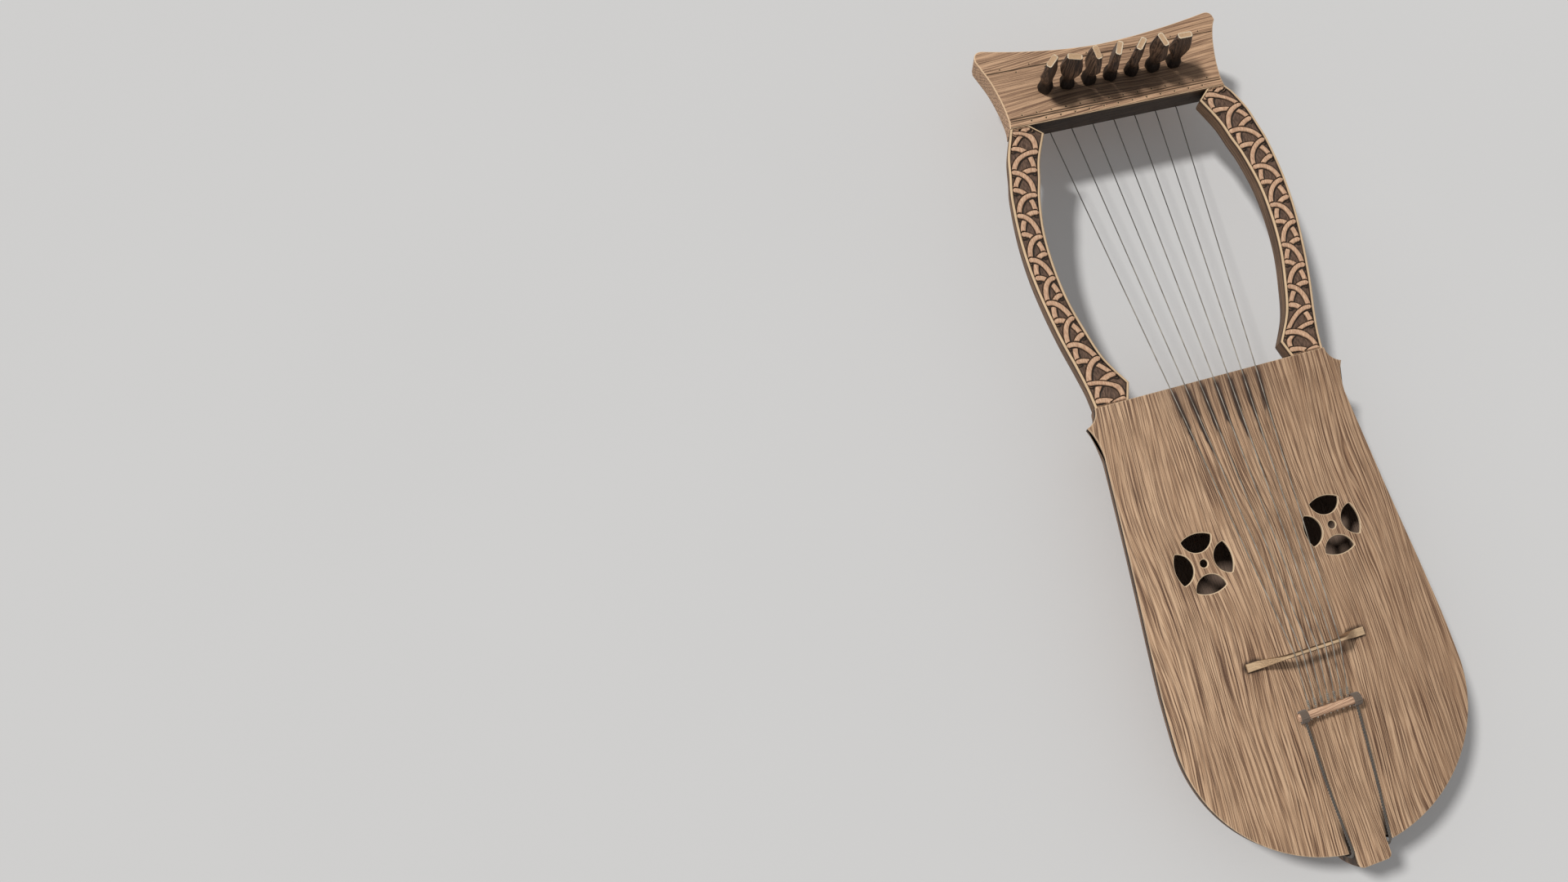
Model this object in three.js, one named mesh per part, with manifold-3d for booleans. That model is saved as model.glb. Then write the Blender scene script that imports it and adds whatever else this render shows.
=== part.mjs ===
// A seven-string bowl lyre with a hollowed body, two bowed arms and a yoke full of tuning pegs.
// It lies on its back: X runs across it, Y along it towards the yoke, Z up out of the soundboard.
// The origin is on the floor under the middle of the lyre. Lengths are millimetres.
import * as THREE from "three";
import { mergeVertices } from "three/addons/utils/BufferGeometryUtils.js";
import Module from "manifold-3d";

const wasm = await Module();
wasm.setup();

// Driving dimensions
const GAP = 0.3; // between pieces that touch
const FRONT_Z = 80; // top of the soundboard above the floor
const BOARD = 3.5; // soundboard thickness
const RIM_Z = FRONT_Z - BOARD - GAP; // top of the bowl's wall
const BODY_TOP_Y = 39.5; // end of the body, where the arms leave it
const TAIL_Y = -373.5; // lowest point of the rounded body
const BOUT_Y = -252; // where the body is widest
const BOUT_X = 131.5; // half the widest body
const WAIST_X = 114.4; // half the body under its side tips
const SHOULDER_X = 109.7; // half the straight top edge
const HORN = { x: 121.5, y: 24 }; // pointed side tip

const END_DROP = 24; // straight part of the bowl's two ends below the rim
const END_ROUND = 52; // how far the ends turn in before the flat back
const SIDE_ROUND = 70; // how far the sides turn in
const HORN_DEPTH = 36; // the side tips have faded into the bowl at this depth
const WALL = 8; // bowl wall and back
const CHAMBER = { top: -14, tail: -346 }; // ends of the hollow

const TAB_X = 15; // half the tail tab and lug
const TAB_Y = -386; // end of the tail tab
const LUG_Z = RIM_Z - 49; // foot of the lug on the bowl's tail
const LUG_ROOT_Y = TAIL_Y + 20; // end of the lug inside the bowl's tail wall
const NOTCH_X = 19.6; // outer side of the cord notches
const NOTCH_Y = -368; // where the notches start

const ROSE = { x: 60.5, y: -113.5, ring: 26, hub: 3.5, lens: 13.8, out: 23.6 };

const ARM_Z = FRONT_Z - 2; // carved front of the arms and yoke
const ARM_THICK = { root: 29, top: 24.5 };
const ARM_SIDE = 9; // square part of the arms below their front
const ARM_SWELL = { right: 4.5, left: 0 }; // carved by eye: the right arm's outer edge swells further
const ARM_FULLNESS = 2.6; // 2 makes the back of an arm a half ellipse, more makes it squarer
const TENON = { x: 94, width: 15, height: 12, length: 26, top: ARM_Z - 9 };
const TOP_TENON = { x: 96, width: 10, height: 10, length: 18, top: ARM_Z - 8 };

const YOKE_THICK = 25;
const YOKE_BACK_Z = ARM_Z - YOKE_THICK;
const YOKE_LOW_Y = 306; // straight under-face towards the strings
const YOKE_TOP_Y = 371.5; // top edge at the middle
const YOKE_CORNER = { x: 118, y: 387, round: 8, drop: 3.5 }; // rounding takes off 1, right one is lower

const STRINGS = 7;
const PEG_PITCH = 21;
const PEG_Y = 338.5;
const PEG_HEAD = 46; // head above the yoke's front
const PEG_TAIL = 17; // tail below the yoke's back
const PEG_TIP = 6.6; // the knob at the tail's end starts this far below the yoke's back
const PEG_KNOB = { top: 4.5, end: 3.6 }; // radii, small enough to pass the hole
const PEG_SHANK = 4; // radius
const PEG_HOLE = 4.7; // radius
const PEG_TURNS = [42, -16, -85, 63, 48, -75, 0]; // how each head is turned, degrees
const WINDING = { inner: 4.3, outer: 5.6, low: 6.2, high: 2 }; // below the yoke's back

const BRIDGE = { y: -206.5, half: 54.5, foot: 3.5, crest: 28.5, crestHalf: 23.6, wide: 3.5, thin: 1.1 };
const BAR = { y: -256.5, z: FRONT_Z + 12, radius: 3.5, half: 29.5 };
const STRING_RADIUS = 0.5;
const FAN = { bar: 5.9, bridge: 6.8, yoke: PEG_PITCH }; // string pitch at three places
const CORD_RADIUS = 1.3;
const KNOT = { x: 24, half: 3.6, radius: 5.4 };

const lyre = new THREE.Group();

function finish(color, roughness) {
  return new THREE.MeshStandardMaterial({ color, roughness, metalness: 0 });
}
const BOWL_WOOD = finish(0x7d5c44, 0.6);
const BOARD_WOOD = finish(0xb09070, 0.65);
const ARM_WOOD = finish(0x8e6d52, 0.6);
const PEG_WOOD = finish(0x4a3a30, 0.55);
const BRIDGE_WOOD = finish(0xa5805c, 0.6);
const GUT = finish(0xa8a294, 0.45);
const CORD = finish(0x4b443e, 0.9);

// Solids

function solidOf(geometry) {
  geometry.deleteAttribute("normal");
  geometry.deleteAttribute("uv");
  const merged = mergeVertices(geometry, 1e-4);
  return new wasm.Manifold(
    new wasm.Mesh({
      numProp: 3,
      vertProperties: new Float32Array(merged.attributes.position.array),
      triVerts: new Uint32Array(merged.index.array),
    }),
  );
}

function add(name, solid, material) {
  const made = solid.getMesh();
  const geometry = new THREE.BufferGeometry();
  geometry.setAttribute("position", new THREE.BufferAttribute(made.vertProperties, 3));
  geometry.setIndex(new THREE.BufferAttribute(made.triVerts, 1));
  geometry.computeVertexNormals();
  const mesh = new THREE.Mesh(geometry, material);
  mesh.name = name;
  lyre.add(mesh);
}

// A closed skin over rings of points that all have the same count, with flat end caps.
function loft(givenRings, capAxes = ["x", "y"]) {
  const flat = (ring) => ring.map((p) => new THREE.Vector2(p[capAxes[0]], p[capAxes[1]]));
  const clockwise = THREE.ShapeUtils.isClockWise(flat(givenRings[0]));
  const rings = clockwise ? givenRings.map((ring) => ring.toReversed()) : givenRings;
  const count = rings[0].length;
  const index = [];
  for (let r = 0; r + 1 < rings.length; r++) {
    for (let i = 0; i < count; i++) {
      const j = (i + 1) % count;
      const a = r * count + i;
      const b = r * count + j;
      index.push(a, b, a + count, b, b + count, a + count);
    }
  }
  const last = (rings.length - 1) * count;
  for (const [a, b, c] of THREE.ShapeUtils.triangulateShape(flat(rings[0]), [])) index.push(a, c, b);
  for (const [a, b, c] of THREE.ShapeUtils.triangulateShape(flat(rings.at(-1)), [])) {
    index.push(last + a, last + b, last + c);
  }
  const geometry = new THREE.BufferGeometry();
  const places = rings.flat().flatMap((p) => p.toArray());
  geometry.setAttribute("position", new THREE.Float32BufferAttribute(places, 3));
  geometry.setIndex(index);
  const solid = solidOf(geometry);
  return solid.volume() > 0 ? solid : solidOf(turnedRound(geometry));
}

function turnedRound(geometry) {
  const index = geometry.index.array;
  for (let i = 0; i < index.length; i += 3) [index[i], index[i + 1]] = [index[i + 1], index[i]];
  return geometry;
}

function extruded(points, low, high) {
  const shape = new THREE.Shape(points);
  const geometry = new THREE.ExtrudeGeometry(shape, { depth: high - low, bevelEnabled: false });
  return solidOf(geometry.translate(0, 0, low));
}

function box(low, high) {
  const size = high.map((v, i) => v - low[i]);
  const geometry = new THREE.BoxGeometry(...size);
  return solidOf(geometry.translate(...low.map((v, i) => v + size[i] / 2)));
}

function post(radius, low, high, sides = 24) {
  const geometry = new THREE.CylinderGeometry(radius, radius, high - low, sides);
  return solidOf(geometry.rotateX(Math.PI / 2).translate(0, 0, (low + high) / 2));
}

// A round tube through a list of points.
function tube(points, radius, sides, steps) {
  const corners = points.map((p) => new THREE.Vector3(...p));
  const path = new THREE.CatmullRomCurve3(corners, false, "centripetal");
  const section = new THREE.Shape();
  for (let i = 0; i < sides; i++) {
    const turn = (i / sides) * 2 * Math.PI;
    const place = [radius * Math.cos(turn), radius * Math.sin(turn)];
    if (i) section.lineTo(...place);
    else section.moveTo(...place);
  }
  return solidOf(new THREE.ExtrudeGeometry(section, { steps, extrudePath: path }));
}

const vec = (x, y) => new THREE.Vector2(x, y);
const smooth = (t) => t * t * (3 - 2 * t);
const mirrored = (points) => [...points, ...points.toReversed().map((p) => vec(-p.x, p.y))];

// Drops points that fall on top of the one before.
function distinct(points) {
  return points.filter((p, i) => !i || p.distanceTo(points[i - 1]) > 1e-3);
}

// Right half of the body's outline, from the middle of the top edge to the tail.
// Depth 0 has the pointed side tips, depth 1 has none.
function halfBody(depth) {
  const hornX = THREE.MathUtils.lerp(HORN.x, WAIST_X + 0.4, depth);
  const flare = new THREE.SplineCurve([
    vec(WAIST_X, -4),
    vec(117, -41),
    vec(121.3, -100),
    vec(127, -167),
    vec(130.3, -212),
    vec(BOUT_X, BOUT_Y),
  ]);
  const bout = new THREE.EllipseCurve(0, BOUT_Y, BOUT_X, BOUT_Y - TAIL_Y, 0, -Math.PI / 2, true);
  const pieces = [
    new THREE.LineCurve(vec(SHOULDER_X / 3, BODY_TOP_Y), vec(SHOULDER_X, BODY_TOP_Y)).getPoints(3),
    new THREE.QuadraticBezierCurve(
      vec(SHOULDER_X + 0.3, BODY_TOP_Y - 2),
      vec(SHOULDER_X + 1.5, HORN.y + 4),
      vec(hornX, HORN.y),
    ).getPoints(5),
    new THREE.QuadraticBezierCurve(vec(hornX, HORN.y), vec(WAIST_X + 0.8, 14), vec(WAIST_X, -4)).getPoints(5),
    flare.getPoints(12),
    bout.getPoints(14).slice(0, -1),
  ];
  return distinct(pieces.flat());
}

// How far the wall has turned in at a depth below the rim. The ends drop straight at first and
// then turn in tightly, and the sides turn in from the rim in one wide sweep.
function turnIn(depth, full, sideways) {
  const straight = THREE.MathUtils.lerp(END_DROP, 0, sideways);
  const reach = THREE.MathUtils.lerp(END_ROUND, SIDE_ROUND, sideways);
  const t = THREE.MathUtils.clamp((depth - straight) / (full - straight), 0, 1);
  return reach * (1 - Math.sqrt(1 - t * t));
}

// The bowl narrows towards a spine along its middle as it goes down to its back.
function narrowed(points, depth, full, top, tail) {
  return points.map((p) => {
    const y = THREE.MathUtils.clamp(p.y, tail, top);
    const arm = vec(p.x, p.y - y);
    const sideways = (arm.x / arm.length()) ** 2;
    return arm.setLength(Math.max(arm.length() - turnIn(depth, full, sideways), 1)).add(vec(0, y));
  });
}

// Depths of the levels, closer together where the wall turns in to the back.
function depths(full, steps) {
  return Array.from({ length: steps + 1 }, (_, i) => full * Math.sin((i / steps) * (Math.PI / 2)));
}

const atHeight = (points, z) => points.map((p) => new THREE.Vector3(p.x, p.y, z));

// The bowl's outside. Grown is how far it stands proud, to cut a neighbour with a gap.
function bowlSkin(grown = 0) {
  const level = (depth) => {
    const fade = smooth(THREE.MathUtils.clamp(depth / HORN_DEPTH, 0, 1));
    return narrowed(mirrored(halfBody(fade)), depth, RIM_Z, -30, BOUT_Y);
  };
  const rings = depths(RIM_Z, 9).map((depth) => atHeight(swollen(level(depth), grown), RIM_Z - depth));
  if (grown) rings.unshift(atHeight(swollen(level(0), grown), FRONT_Z + 5));
  return loft(rings);
}

function swollen(points, grown) {
  return points.map((p) => {
    const arm = vec(p.x, p.y - THREE.MathUtils.clamp(p.y, BOUT_Y, 0));
    return p.clone().add(arm.setLength(grown));
  });
}

function chamber() {
  const sides = new THREE.SplineCurve([
    vec(100, CHAMBER.top - 8),
    vec(112, -100),
    vec(121, -190),
    vec(BOUT_X - WALL, BOUT_Y),
  ]);
  const tail = new THREE.EllipseCurve(0, BOUT_Y, BOUT_X - WALL, BOUT_Y - CHAMBER.tail, 0, -Math.PI / 2, true);
  const half = distinct([
    vec(60, CHAMBER.top),
    vec(92, CHAMBER.top),
    ...sides.getPoints(6),
    ...tail.getPoints(9).slice(0, -1),
  ]);
  const full = RIM_Z - WALL;
  const rings = depths(full, 6).map((depth) =>
    atHeight(narrowed(mirrored(half), depth, full, -70, BOUT_Y), RIM_Z - depth),
  );
  return loft([atHeight(mirrored(half), RIM_Z + 5), ...rings]);
}

// A fin under the tail tab that the cord hooks round. Its end leans in towards its foot.
function tailLug() {
  const side = [
    [TAB_Y, RIM_Z],
    [TAB_Y, RIM_Z - 18],
    [TAB_Y + 1.5, RIM_Z - 34],
    [TAB_Y + 6, LUG_Z],
    [LUG_ROOT_Y, LUG_Z],
    [LUG_ROOT_Y, RIM_Z],
  ];
  const ring = (x) => side.map(([y, z]) => new THREE.Vector3(x, y, z));
  return loft([ring(-TAB_X), ring(TAB_X)], ["y", "z"]);
}

// A square tenon that runs between two y values, with its top face at a height.
function tenonBox(side, { x, width, height, top }, from, to, grow) {
  return box(
    [side * x - width / 2 - grow, from, top - height - grow],
    [side * x + width / 2 + grow, to, top + grow],
  );
}
const footTenon = (side, grow) =>
  tenonBox(side, TENON, BODY_TOP_Y - TENON.length - grow, BODY_TOP_Y + 6, grow);
const topTenon = (side, grow) =>
  tenonBox(side, TOP_TENON, YOKE_LOW_Y - 4, YOKE_LOW_Y + TOP_TENON.length + grow, grow);

function soundbox() {
  let bowl = bowlSkin().subtract(chamber());
  for (const side of [-1, 1]) bowl = bowl.subtract(cordSlot(side, LUG_Z - 5, RIM_Z + 1));
  bowl = bowl.add(tailLug());
  for (const side of [-1, 1]) bowl = bowl.subtract(footTenon(side, GAP));
  add("soundbox", bowl, BOWL_WOOD);
}

// The cord drops over the tail in a slot beside the tab.
function cordSlot(side, low, high) {
  const near = side * TAB_X;
  const far = side * NOTCH_X;
  return box([Math.min(near, far), TAB_Y - 5, low], [Math.max(near, far), NOTCH_Y, high]);
}

// Soundboard

function boardOutline() {
  const half = halfBody(0);
  const tab = [
    vec(TAB_X, half.at(-1).y),
    vec(TAB_X, TAB_Y + 4),
    vec(TAB_X - 1.2, TAB_Y + 1.2),
    vec(TAB_X - 4, TAB_Y),
  ];
  return mirrored([...half.filter((p) => p.x > NOTCH_X || p.y > 0), ...tab]);
}

// One petal of a rosette: the overlap of the rosette's disc and a smaller disc further out.
function petal(turn) {
  const { ring, lens, out } = ROSE;
  const tipX = (ring ** 2 - lens ** 2 + out ** 2) / (2 * out);
  const tipY = Math.sqrt(ring ** 2 - tipX ** 2);
  const outer = Math.atan2(tipY, tipX);
  const inner = Math.atan2(tipY, tipX - out);
  const arcs = [
    new THREE.EllipseCurve(0, 0, ring, ring, -outer, outer).getPoints(8),
    new THREE.EllipseCurve(out, 0, lens, lens, inner, 2 * Math.PI - inner).getPoints(10).slice(1, -1),
  ];
  return arcs.flat().map((p) => p.rotateAround(vec(0, 0), turn));
}

function soundboard() {
  let board = extruded(boardOutline(), FRONT_Z - BOARD, FRONT_Z);
  for (const side of [-1, 1]) {
    const cut = [0, 1, 2, 3].map((k) => extruded(petal((k * Math.PI) / 2), FRONT_Z - 10, FRONT_Z + 5));
    cut.push(post(ROSE.hub, FRONT_Z - 10, FRONT_Z + 5, 16));
    for (const hole of cut) board = board.subtract(hole.translate([side * ROSE.x, ROSE.y, 0]));
    board = board.subtract(cordSlot(side, FRONT_Z - 10, FRONT_Z + 5));
  }
  add("soundboard", board, BOARD_WOOD);
}

// Arms and yoke

// Inner and outer edges of the right arm, paired from the foot to the yoke.
const ARM_EDGES = [
  [80.5, BODY_TOP_Y - 7, 108.6, BODY_TOP_Y - 7],
  [73, 54.5, 110.6, 54],
  [87.5, 80.5, 114.5, 77],
  [96, 109.5, 120, 104],
  [102.5, 140.5, 125, 138],
  [105, 172.5, 128, 173],
  [104, 204.5, 127.7, 208],
  [98.5, 235.5, 124, 243],
  [93, 253.5, 120, 261],
  [87.5, 272.5, 115.8, 280],
  [76.5, 296, 108.5, 299],
  [87, YOKE_LOW_Y - GAP, 105.7, YOKE_LOW_Y - GAP],
];

// Stations along the arm: its cusps stay sharp and the stretch between them is a smooth curve.
function armStations(swell) {
  const inner = ARM_EDGES.slice(1, -1).map(([x, y]) => vec(x, y));
  const last = ARM_EDGES.length - 1;
  const outer = ARM_EDGES.map(([, , x, y], i) => vec(x + swell * Math.sin(Math.PI * (i / last) ** 2), y));
  const innerCurve = new THREE.SplineCurve(inner);
  const outerCurve = new THREE.SplineCurve(outer);
  const steps = 22;
  const share = 1 / last;
  const stations = [{ inner: vec(ARM_EDGES[0][0], ARM_EDGES[0][1]), outer: outer[0], along: 0 }];
  for (let i = 0; i <= steps; i++) {
    const t = i / steps;
    const along = THREE.MathUtils.lerp(share, 1 - share, t);
    stations.push({ inner: innerCurve.getPoint(t), outer: outerCurve.getPoint(along), along });
  }
  const end = ARM_EDGES.at(-1);
  stations.push({ inner: vec(end[0], end[1]), outer: outer.at(-1), along: 1 });
  return stations;
}

// A slice of the arm: square at the front, with a full round back.
function armSlice({ inner, outer, along }) {
  const deep = THREE.MathUtils.lerp(ARM_THICK.root, ARM_THICK.top, along) - ARM_SIDE;
  const power = 2 / ARM_FULLNESS;
  const section = [
    [0, 0],
    [1, 0],
  ];
  for (let i = 0; i <= 10; i++) {
    const cos = Math.cos((i / 10) * Math.PI);
    const sin = Math.sin((i / 10) * Math.PI);
    const across = 0.5 + 0.5 * Math.sign(cos) * Math.abs(cos) ** power;
    section.push([across, -ARM_SIDE - deep * Math.abs(sin) ** power]);
  }
  return section.map(([across, z]) => {
    const p = inner.clone().lerp(outer, across);
    return new THREE.Vector3(p.x, p.y, ARM_Z + z);
  });
}

function arm(swell) {
  const bow = loft(armStations(swell).map(armSlice), ["x", "z"]).subtract(bowlSkin(GAP));
  return bow.add(footTenon(1, 0)).add(topTenon(1, 0));
}

function arms() {
  add("arm_right", arm(ARM_SWELL.right), ARM_WOOD);
  add("arm_left", arm(ARM_SWELL.left).mirror([1, 0, 0]), ARM_WOOD);
}

// Half of the yoke's outline, out to a corner at a height along the lyre.
function halfYoke(y) {
  const { x, round } = YOKE_CORNER;
  const turn = vec(x - round - 1, y - 1);
  const top = new THREE.QuadraticBezierCurve(vec(10, YOKE_TOP_Y), vec(52, YOKE_TOP_Y + 1), turn);
  const corner = new THREE.QuadraticBezierCurve(turn, vec(x, y), vec(x, y - round - 2));
  const side = new THREE.SplineCurve([
    vec(x, y - round - 2),
    vec(114.6, 367.5),
    vec(110.3, 355),
    vec(107.2, 341),
    vec(105.2, 327),
    vec(104.6, 314),
    vec(105.7, YOKE_LOW_Y),
  ]);
  return distinct([...top.getPoints(7), ...corner.getPoints(4), ...side.getPoints(10)]);
}

function yoke() {
  const left = halfYoke(YOKE_CORNER.y).toReversed();
  const outline = [...halfYoke(YOKE_CORNER.y - YOKE_CORNER.drop), ...left.map((p) => vec(-p.x, p.y))];
  let bar = extruded(outline, YOKE_BACK_Z, ARM_Z);
  for (const x of pegPlaces()) bar = bar.subtract(post(PEG_HOLE, 0, FRONT_Z + 10).translate([x, PEG_Y, 0]));
  for (const side of [-1, 1]) bar = bar.subtract(topTenon(side, GAP));
  add("yoke", bar, ARM_WOOD);
}

// Pegs

function pegPlaces() {
  return Array.from({ length: STRINGS }, (_, i) => fan(i, PEG_PITCH));
}

const fan = (i, pitch) => (i - (STRINGS - 1) / 2) * pitch;

// An eight-sided slice of a peg's head, half wide by half thick.
function pegSlice(wide, thick, z) {
  const cut = Math.min(wide, thick) * 0.45;
  const corner = [
    [wide, thick - cut],
    [wide - cut, thick],
  ];
  const quarter = (sx, sy, flip) => {
    const pair = flip ? corner.toReversed() : corner;
    return pair.map(([x, y]) => new THREE.Vector3(sx * x, sy * y, z));
  };
  const corners = [quarter(1, 1, false), quarter(-1, 1, true), quarter(-1, -1, false), quarter(1, -1, true)];
  return corners.flat();
}

function pegSolid() {
  const head = [
    [6.4, 6.2, GAP],
    [6.6, 6.4, 5],
    [5.6, 5.0, 9.5],
    [5.4, 4.2, 14],
    [8.4, 4.4, 21],
    [10, 4.2, 27],
    [9.6, 3.8, 33],
    [6.9, 2.8, PEG_HEAD],
  ];
  const tailStart = YOKE_THICK + PEG_TIP;
  const shank = post(PEG_SHANK, -tailStart - 1, 2, 20);
  const tip = new THREE.CylinderGeometry(PEG_KNOB.top, PEG_KNOB.end, PEG_TAIL - PEG_TIP, 8);
  const tail = solidOf(tip.rotateX(Math.PI / 2).translate(0, 0, -tailStart - (PEG_TAIL - PEG_TIP) / 2));
  return loft(head.map((slice) => pegSlice(...slice))).add(shank).add(tail);
}

function pegs() {
  const peg = pegSolid();
  pegPlaces().forEach((x, i) => {
    add(`peg_${i + 1}`, peg.rotate([0, 0, PEG_TURNS[i]]).translate([x, PEG_Y, ARM_Z]), PEG_WOOD);
    const { inner, outer, low, high } = WINDING;
    const profile = [
      vec(inner, -low),
      vec(outer - 0.4, -low),
      vec(outer, -low + 0.5),
      vec(outer, -high - 0.5),
      vec(outer - 0.4, -high),
      vec(inner, -high),
      vec(inner, -low),
    ];
    const ring = solidOf(new THREE.LatheGeometry(profile, 20).rotateX(Math.PI / 2));
    add(`string_winding_${i + 1}`, ring.translate([x, PEG_Y, YOKE_BACK_Z]), GUT);
  });
}

// Bridge, tailpiece, strings and cord

function bridge() {
  const { y, half, foot, crest, crestHalf, wide, thin } = BRIDGE;
  const stations = 28;
  const rings = [];
  for (let i = 0; i <= stations; i++) {
    const x = -half + (2 * half * i) / stations;
    const rise = smooth(THREE.MathUtils.clamp((half - 6 - Math.abs(x)) / (half - 6 - crestHalf), 0, 1));
    const arch = smooth(THREE.MathUtils.clamp((half - 11 - Math.abs(x)) / (half - 11 - crestHalf + 8), 0, 1));
    const top = foot + (crest - foot) * rise;
    const low = (crest - 6) * arch;
    const topWide = THREE.MathUtils.lerp(wide, thin, rise);
    const lowWide = THREE.MathUtils.lerp(wide, thin + 0.9, rise);
    const corners = [
      [-lowWide, low],
      [lowWide, low],
      [topWide, top],
      [-topWide, top],
    ];
    rings.push(corners.map(([across, z]) => new THREE.Vector3(x, y + across, FRONT_Z + GAP + z)));
  }
  add("bridge", loft(rings, ["y", "z"]), BRIDGE_WOOD);
}

function alongX(solid) {
  return solid.rotate([0, 90, 0]);
}

function tailpiece() {
  const bar = alongX(post(BAR.radius, -BAR.half, BAR.half, 16));
  add("tailpiece_bar", bar.translate([0, BAR.y, BAR.z]), BRIDGE_WOOD);
}

function strings() {
  const lift = STRING_RADIUS + GAP;
  const crestZ = FRONT_Z + GAP + BRIDGE.crest + lift;
  for (let i = 0; i < STRINGS; i++) {
    const points = [
      [fan(i, FAN.bar), BAR.y + BAR.radius + lift, BAR.z],
      [fan(i, FAN.bridge), BRIDGE.y, crestZ],
      [fan(i, FAN.yoke), YOKE_LOW_Y - 1, YOKE_BACK_Z - lift],
      [fan(i, FAN.yoke), PEG_Y - WINDING.outer - lift, YOKE_BACK_Z - WINDING.high - 1.5],
    ];
    add(`string_${i + 1}`, polyTube(points, STRING_RADIUS, 6), GUT);
  }
}

// A tube of straight runs joined by mitres.
function polyTube(points, radius, sides) {
  const corners = points.map((p) => new THREE.Vector3(...p));
  const rings = corners.map((p, k) => {
    const before = corners[Math.max(k - 1, 0)];
    const after = corners[Math.min(k + 1, corners.length - 1)];
    const ahead = after.clone().sub(before).normalize();
    const right = new THREE.Vector3().crossVectors(ahead, new THREE.Vector3(0, 0, 1)).normalize();
    const up = new THREE.Vector3().crossVectors(right, ahead);
    return Array.from({ length: sides }, (_, i) => {
      const turn = (i / sides) * 2 * Math.PI;
      return p
        .clone()
        .addScaledVector(right, radius * Math.cos(turn))
        .addScaledVector(up, radius * Math.sin(turn));
    });
  });
  return loft(rings, ["x", "z"]);
}

// The bowl's tail surface at a height, where the cord lies against it.
const tailWallY = (z) => TAIL_Y + turnIn(RIM_Z - z, RIM_Z, 0);

function tailCord() {
  const lift = CORD_RADIUS + GAP;
  const creaseX = TAB_X + lift + 0.4;
  const underZ = LUG_Z - lift - 0.3;
  const side = (s) => [
    [s * (KNOT.x - 0.4), BAR.y - BAR.radius - 1, BAR.z - 0.5],
    [s * 21.2, -320, FRONT_Z + 6],
    [s * 17.6, -366, FRONT_Z + 2.2],
    [s * creaseX, -372.5, FRONT_Z - 0.4],
    ...[74, 60, 46, 34, 28].map((z) => [s * creaseX, tailWallY(z) - lift - 0.4, z]),
    [s * (creaseX - 0.6), tailWallY(26) - lift - 0.2, 26],
    [s * 13.5, tailWallY(underZ) - lift - 0.2, underZ],
  ];
  const route = [...side(-1), [0, tailWallY(underZ) - lift - 0.2, underZ], ...side(1).toReversed()];
  let cord = tube(route, CORD_RADIUS, 8, 90);
  for (const s of [-1, 1]) {
    const knot = post(KNOT.radius, -KNOT.half, KNOT.half, 16).subtract(
      post(BAR.radius + GAP, -KNOT.half - 1, KNOT.half + 1, 16),
    );
    cord = cord.add(alongX(knot).translate([s * KNOT.x, BAR.y, BAR.z]));
  }
  add("tail_cord", cord, CORD);
}

soundbox();
soundboard();
arms();
yoke();
pegs();
bridge();
tailpiece();
strings();
tailCord();

export default lyre;
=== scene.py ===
"""Final look of a seven-string bowl lyre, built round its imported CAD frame.

Lengths are millimetres in the frame's own axes until a piece's mesh is made. X runs across the
lyre, Y along it towards the yoke, Z up out of the soundboard.
"""

import math
from contextlib import contextmanager

import bmesh
import bpy
import numpy as np
from mathutils import Matrix, Vector


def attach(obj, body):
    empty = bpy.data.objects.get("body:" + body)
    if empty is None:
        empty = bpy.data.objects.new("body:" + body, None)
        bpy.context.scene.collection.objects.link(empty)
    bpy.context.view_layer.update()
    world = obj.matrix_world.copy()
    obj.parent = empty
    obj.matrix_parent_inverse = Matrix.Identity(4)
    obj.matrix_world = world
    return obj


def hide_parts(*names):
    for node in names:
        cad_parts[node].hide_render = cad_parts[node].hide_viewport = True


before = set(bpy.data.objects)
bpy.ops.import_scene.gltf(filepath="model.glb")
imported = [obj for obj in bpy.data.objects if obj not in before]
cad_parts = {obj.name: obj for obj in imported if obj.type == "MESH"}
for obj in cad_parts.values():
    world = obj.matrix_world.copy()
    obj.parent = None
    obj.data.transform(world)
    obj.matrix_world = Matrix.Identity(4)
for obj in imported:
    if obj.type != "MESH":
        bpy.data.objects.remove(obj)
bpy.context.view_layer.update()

# Driving dimensions, the same as the CAD model's
GAP = 0.3
FRONT_Z = 80.0
BOARD = 3.5
RIM_Z = FRONT_Z - BOARD - GAP
BODY_TOP_Y = 39.5
TAIL_Y = -373.5
BOUT_Y = -252.0
BOUT_X = 131.5
WAIST_X = 114.4
SHOULDER_X = 109.7
HORN = (121.5, 24.0)
END_DROP = 24.0
END_ROUND = 52.0
SIDE_ROUND = 70.0
HORN_DEPTH = 36.0
WALL = 8.0
CHAMBER_TOP_Y = -14.0
CHAMBER_TAIL_Y = -346.0
TAB_X = 15.0
TAB_Y = -386.0
LUG_Z = RIM_Z - 49.0
NOTCH_X = 19.6
NOTCH_Y = -368.0
ROSE = {"x": 60.5, "y": -113.5, "ring": 26.0, "hub": 3.5, "lens": 13.8, "out": 23.6}
ARM_Z = FRONT_Z - 2
ARM_THICK = (29.0, 24.5)
ARM_SIDE = 9.0
ARM_FULLNESS = 2.6
ARM_SWELL = {1: 4.5, -1: 0.0}
YOKE_THICK = 25.0
YOKE_BACK_Z = ARM_Z - YOKE_THICK
YOKE_LOW_Y = 306.0
YOKE_TOP_Y = 371.5
YOKE_CORNER = (118.0, 387.0, 8.0)
YOKE_DROP = 3.5
STRINGS = 7
PEG_PITCH = 21.0
PEG_Y = 338.5
PEG_HEAD = 46.0
PEG_TAIL = 17.0
PEG_KNOB = (4.45, 3.55)
PEG_SHANK = 4.0
PEG_HOLE = 4.7
PEG_TURNS = (42, -16, -85, 63, 48, -75, 0)
BRIDGE = {"y": -206.5, "half": 54.5, "foot": 3.5, "crest": 28.5, "crest_half": 23.6}
BAR = {"y": -256.5, "z": FRONT_Z + 12, "radius": 3.5, "half": 29.5}
STRING_RADIUS = 0.5
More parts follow.
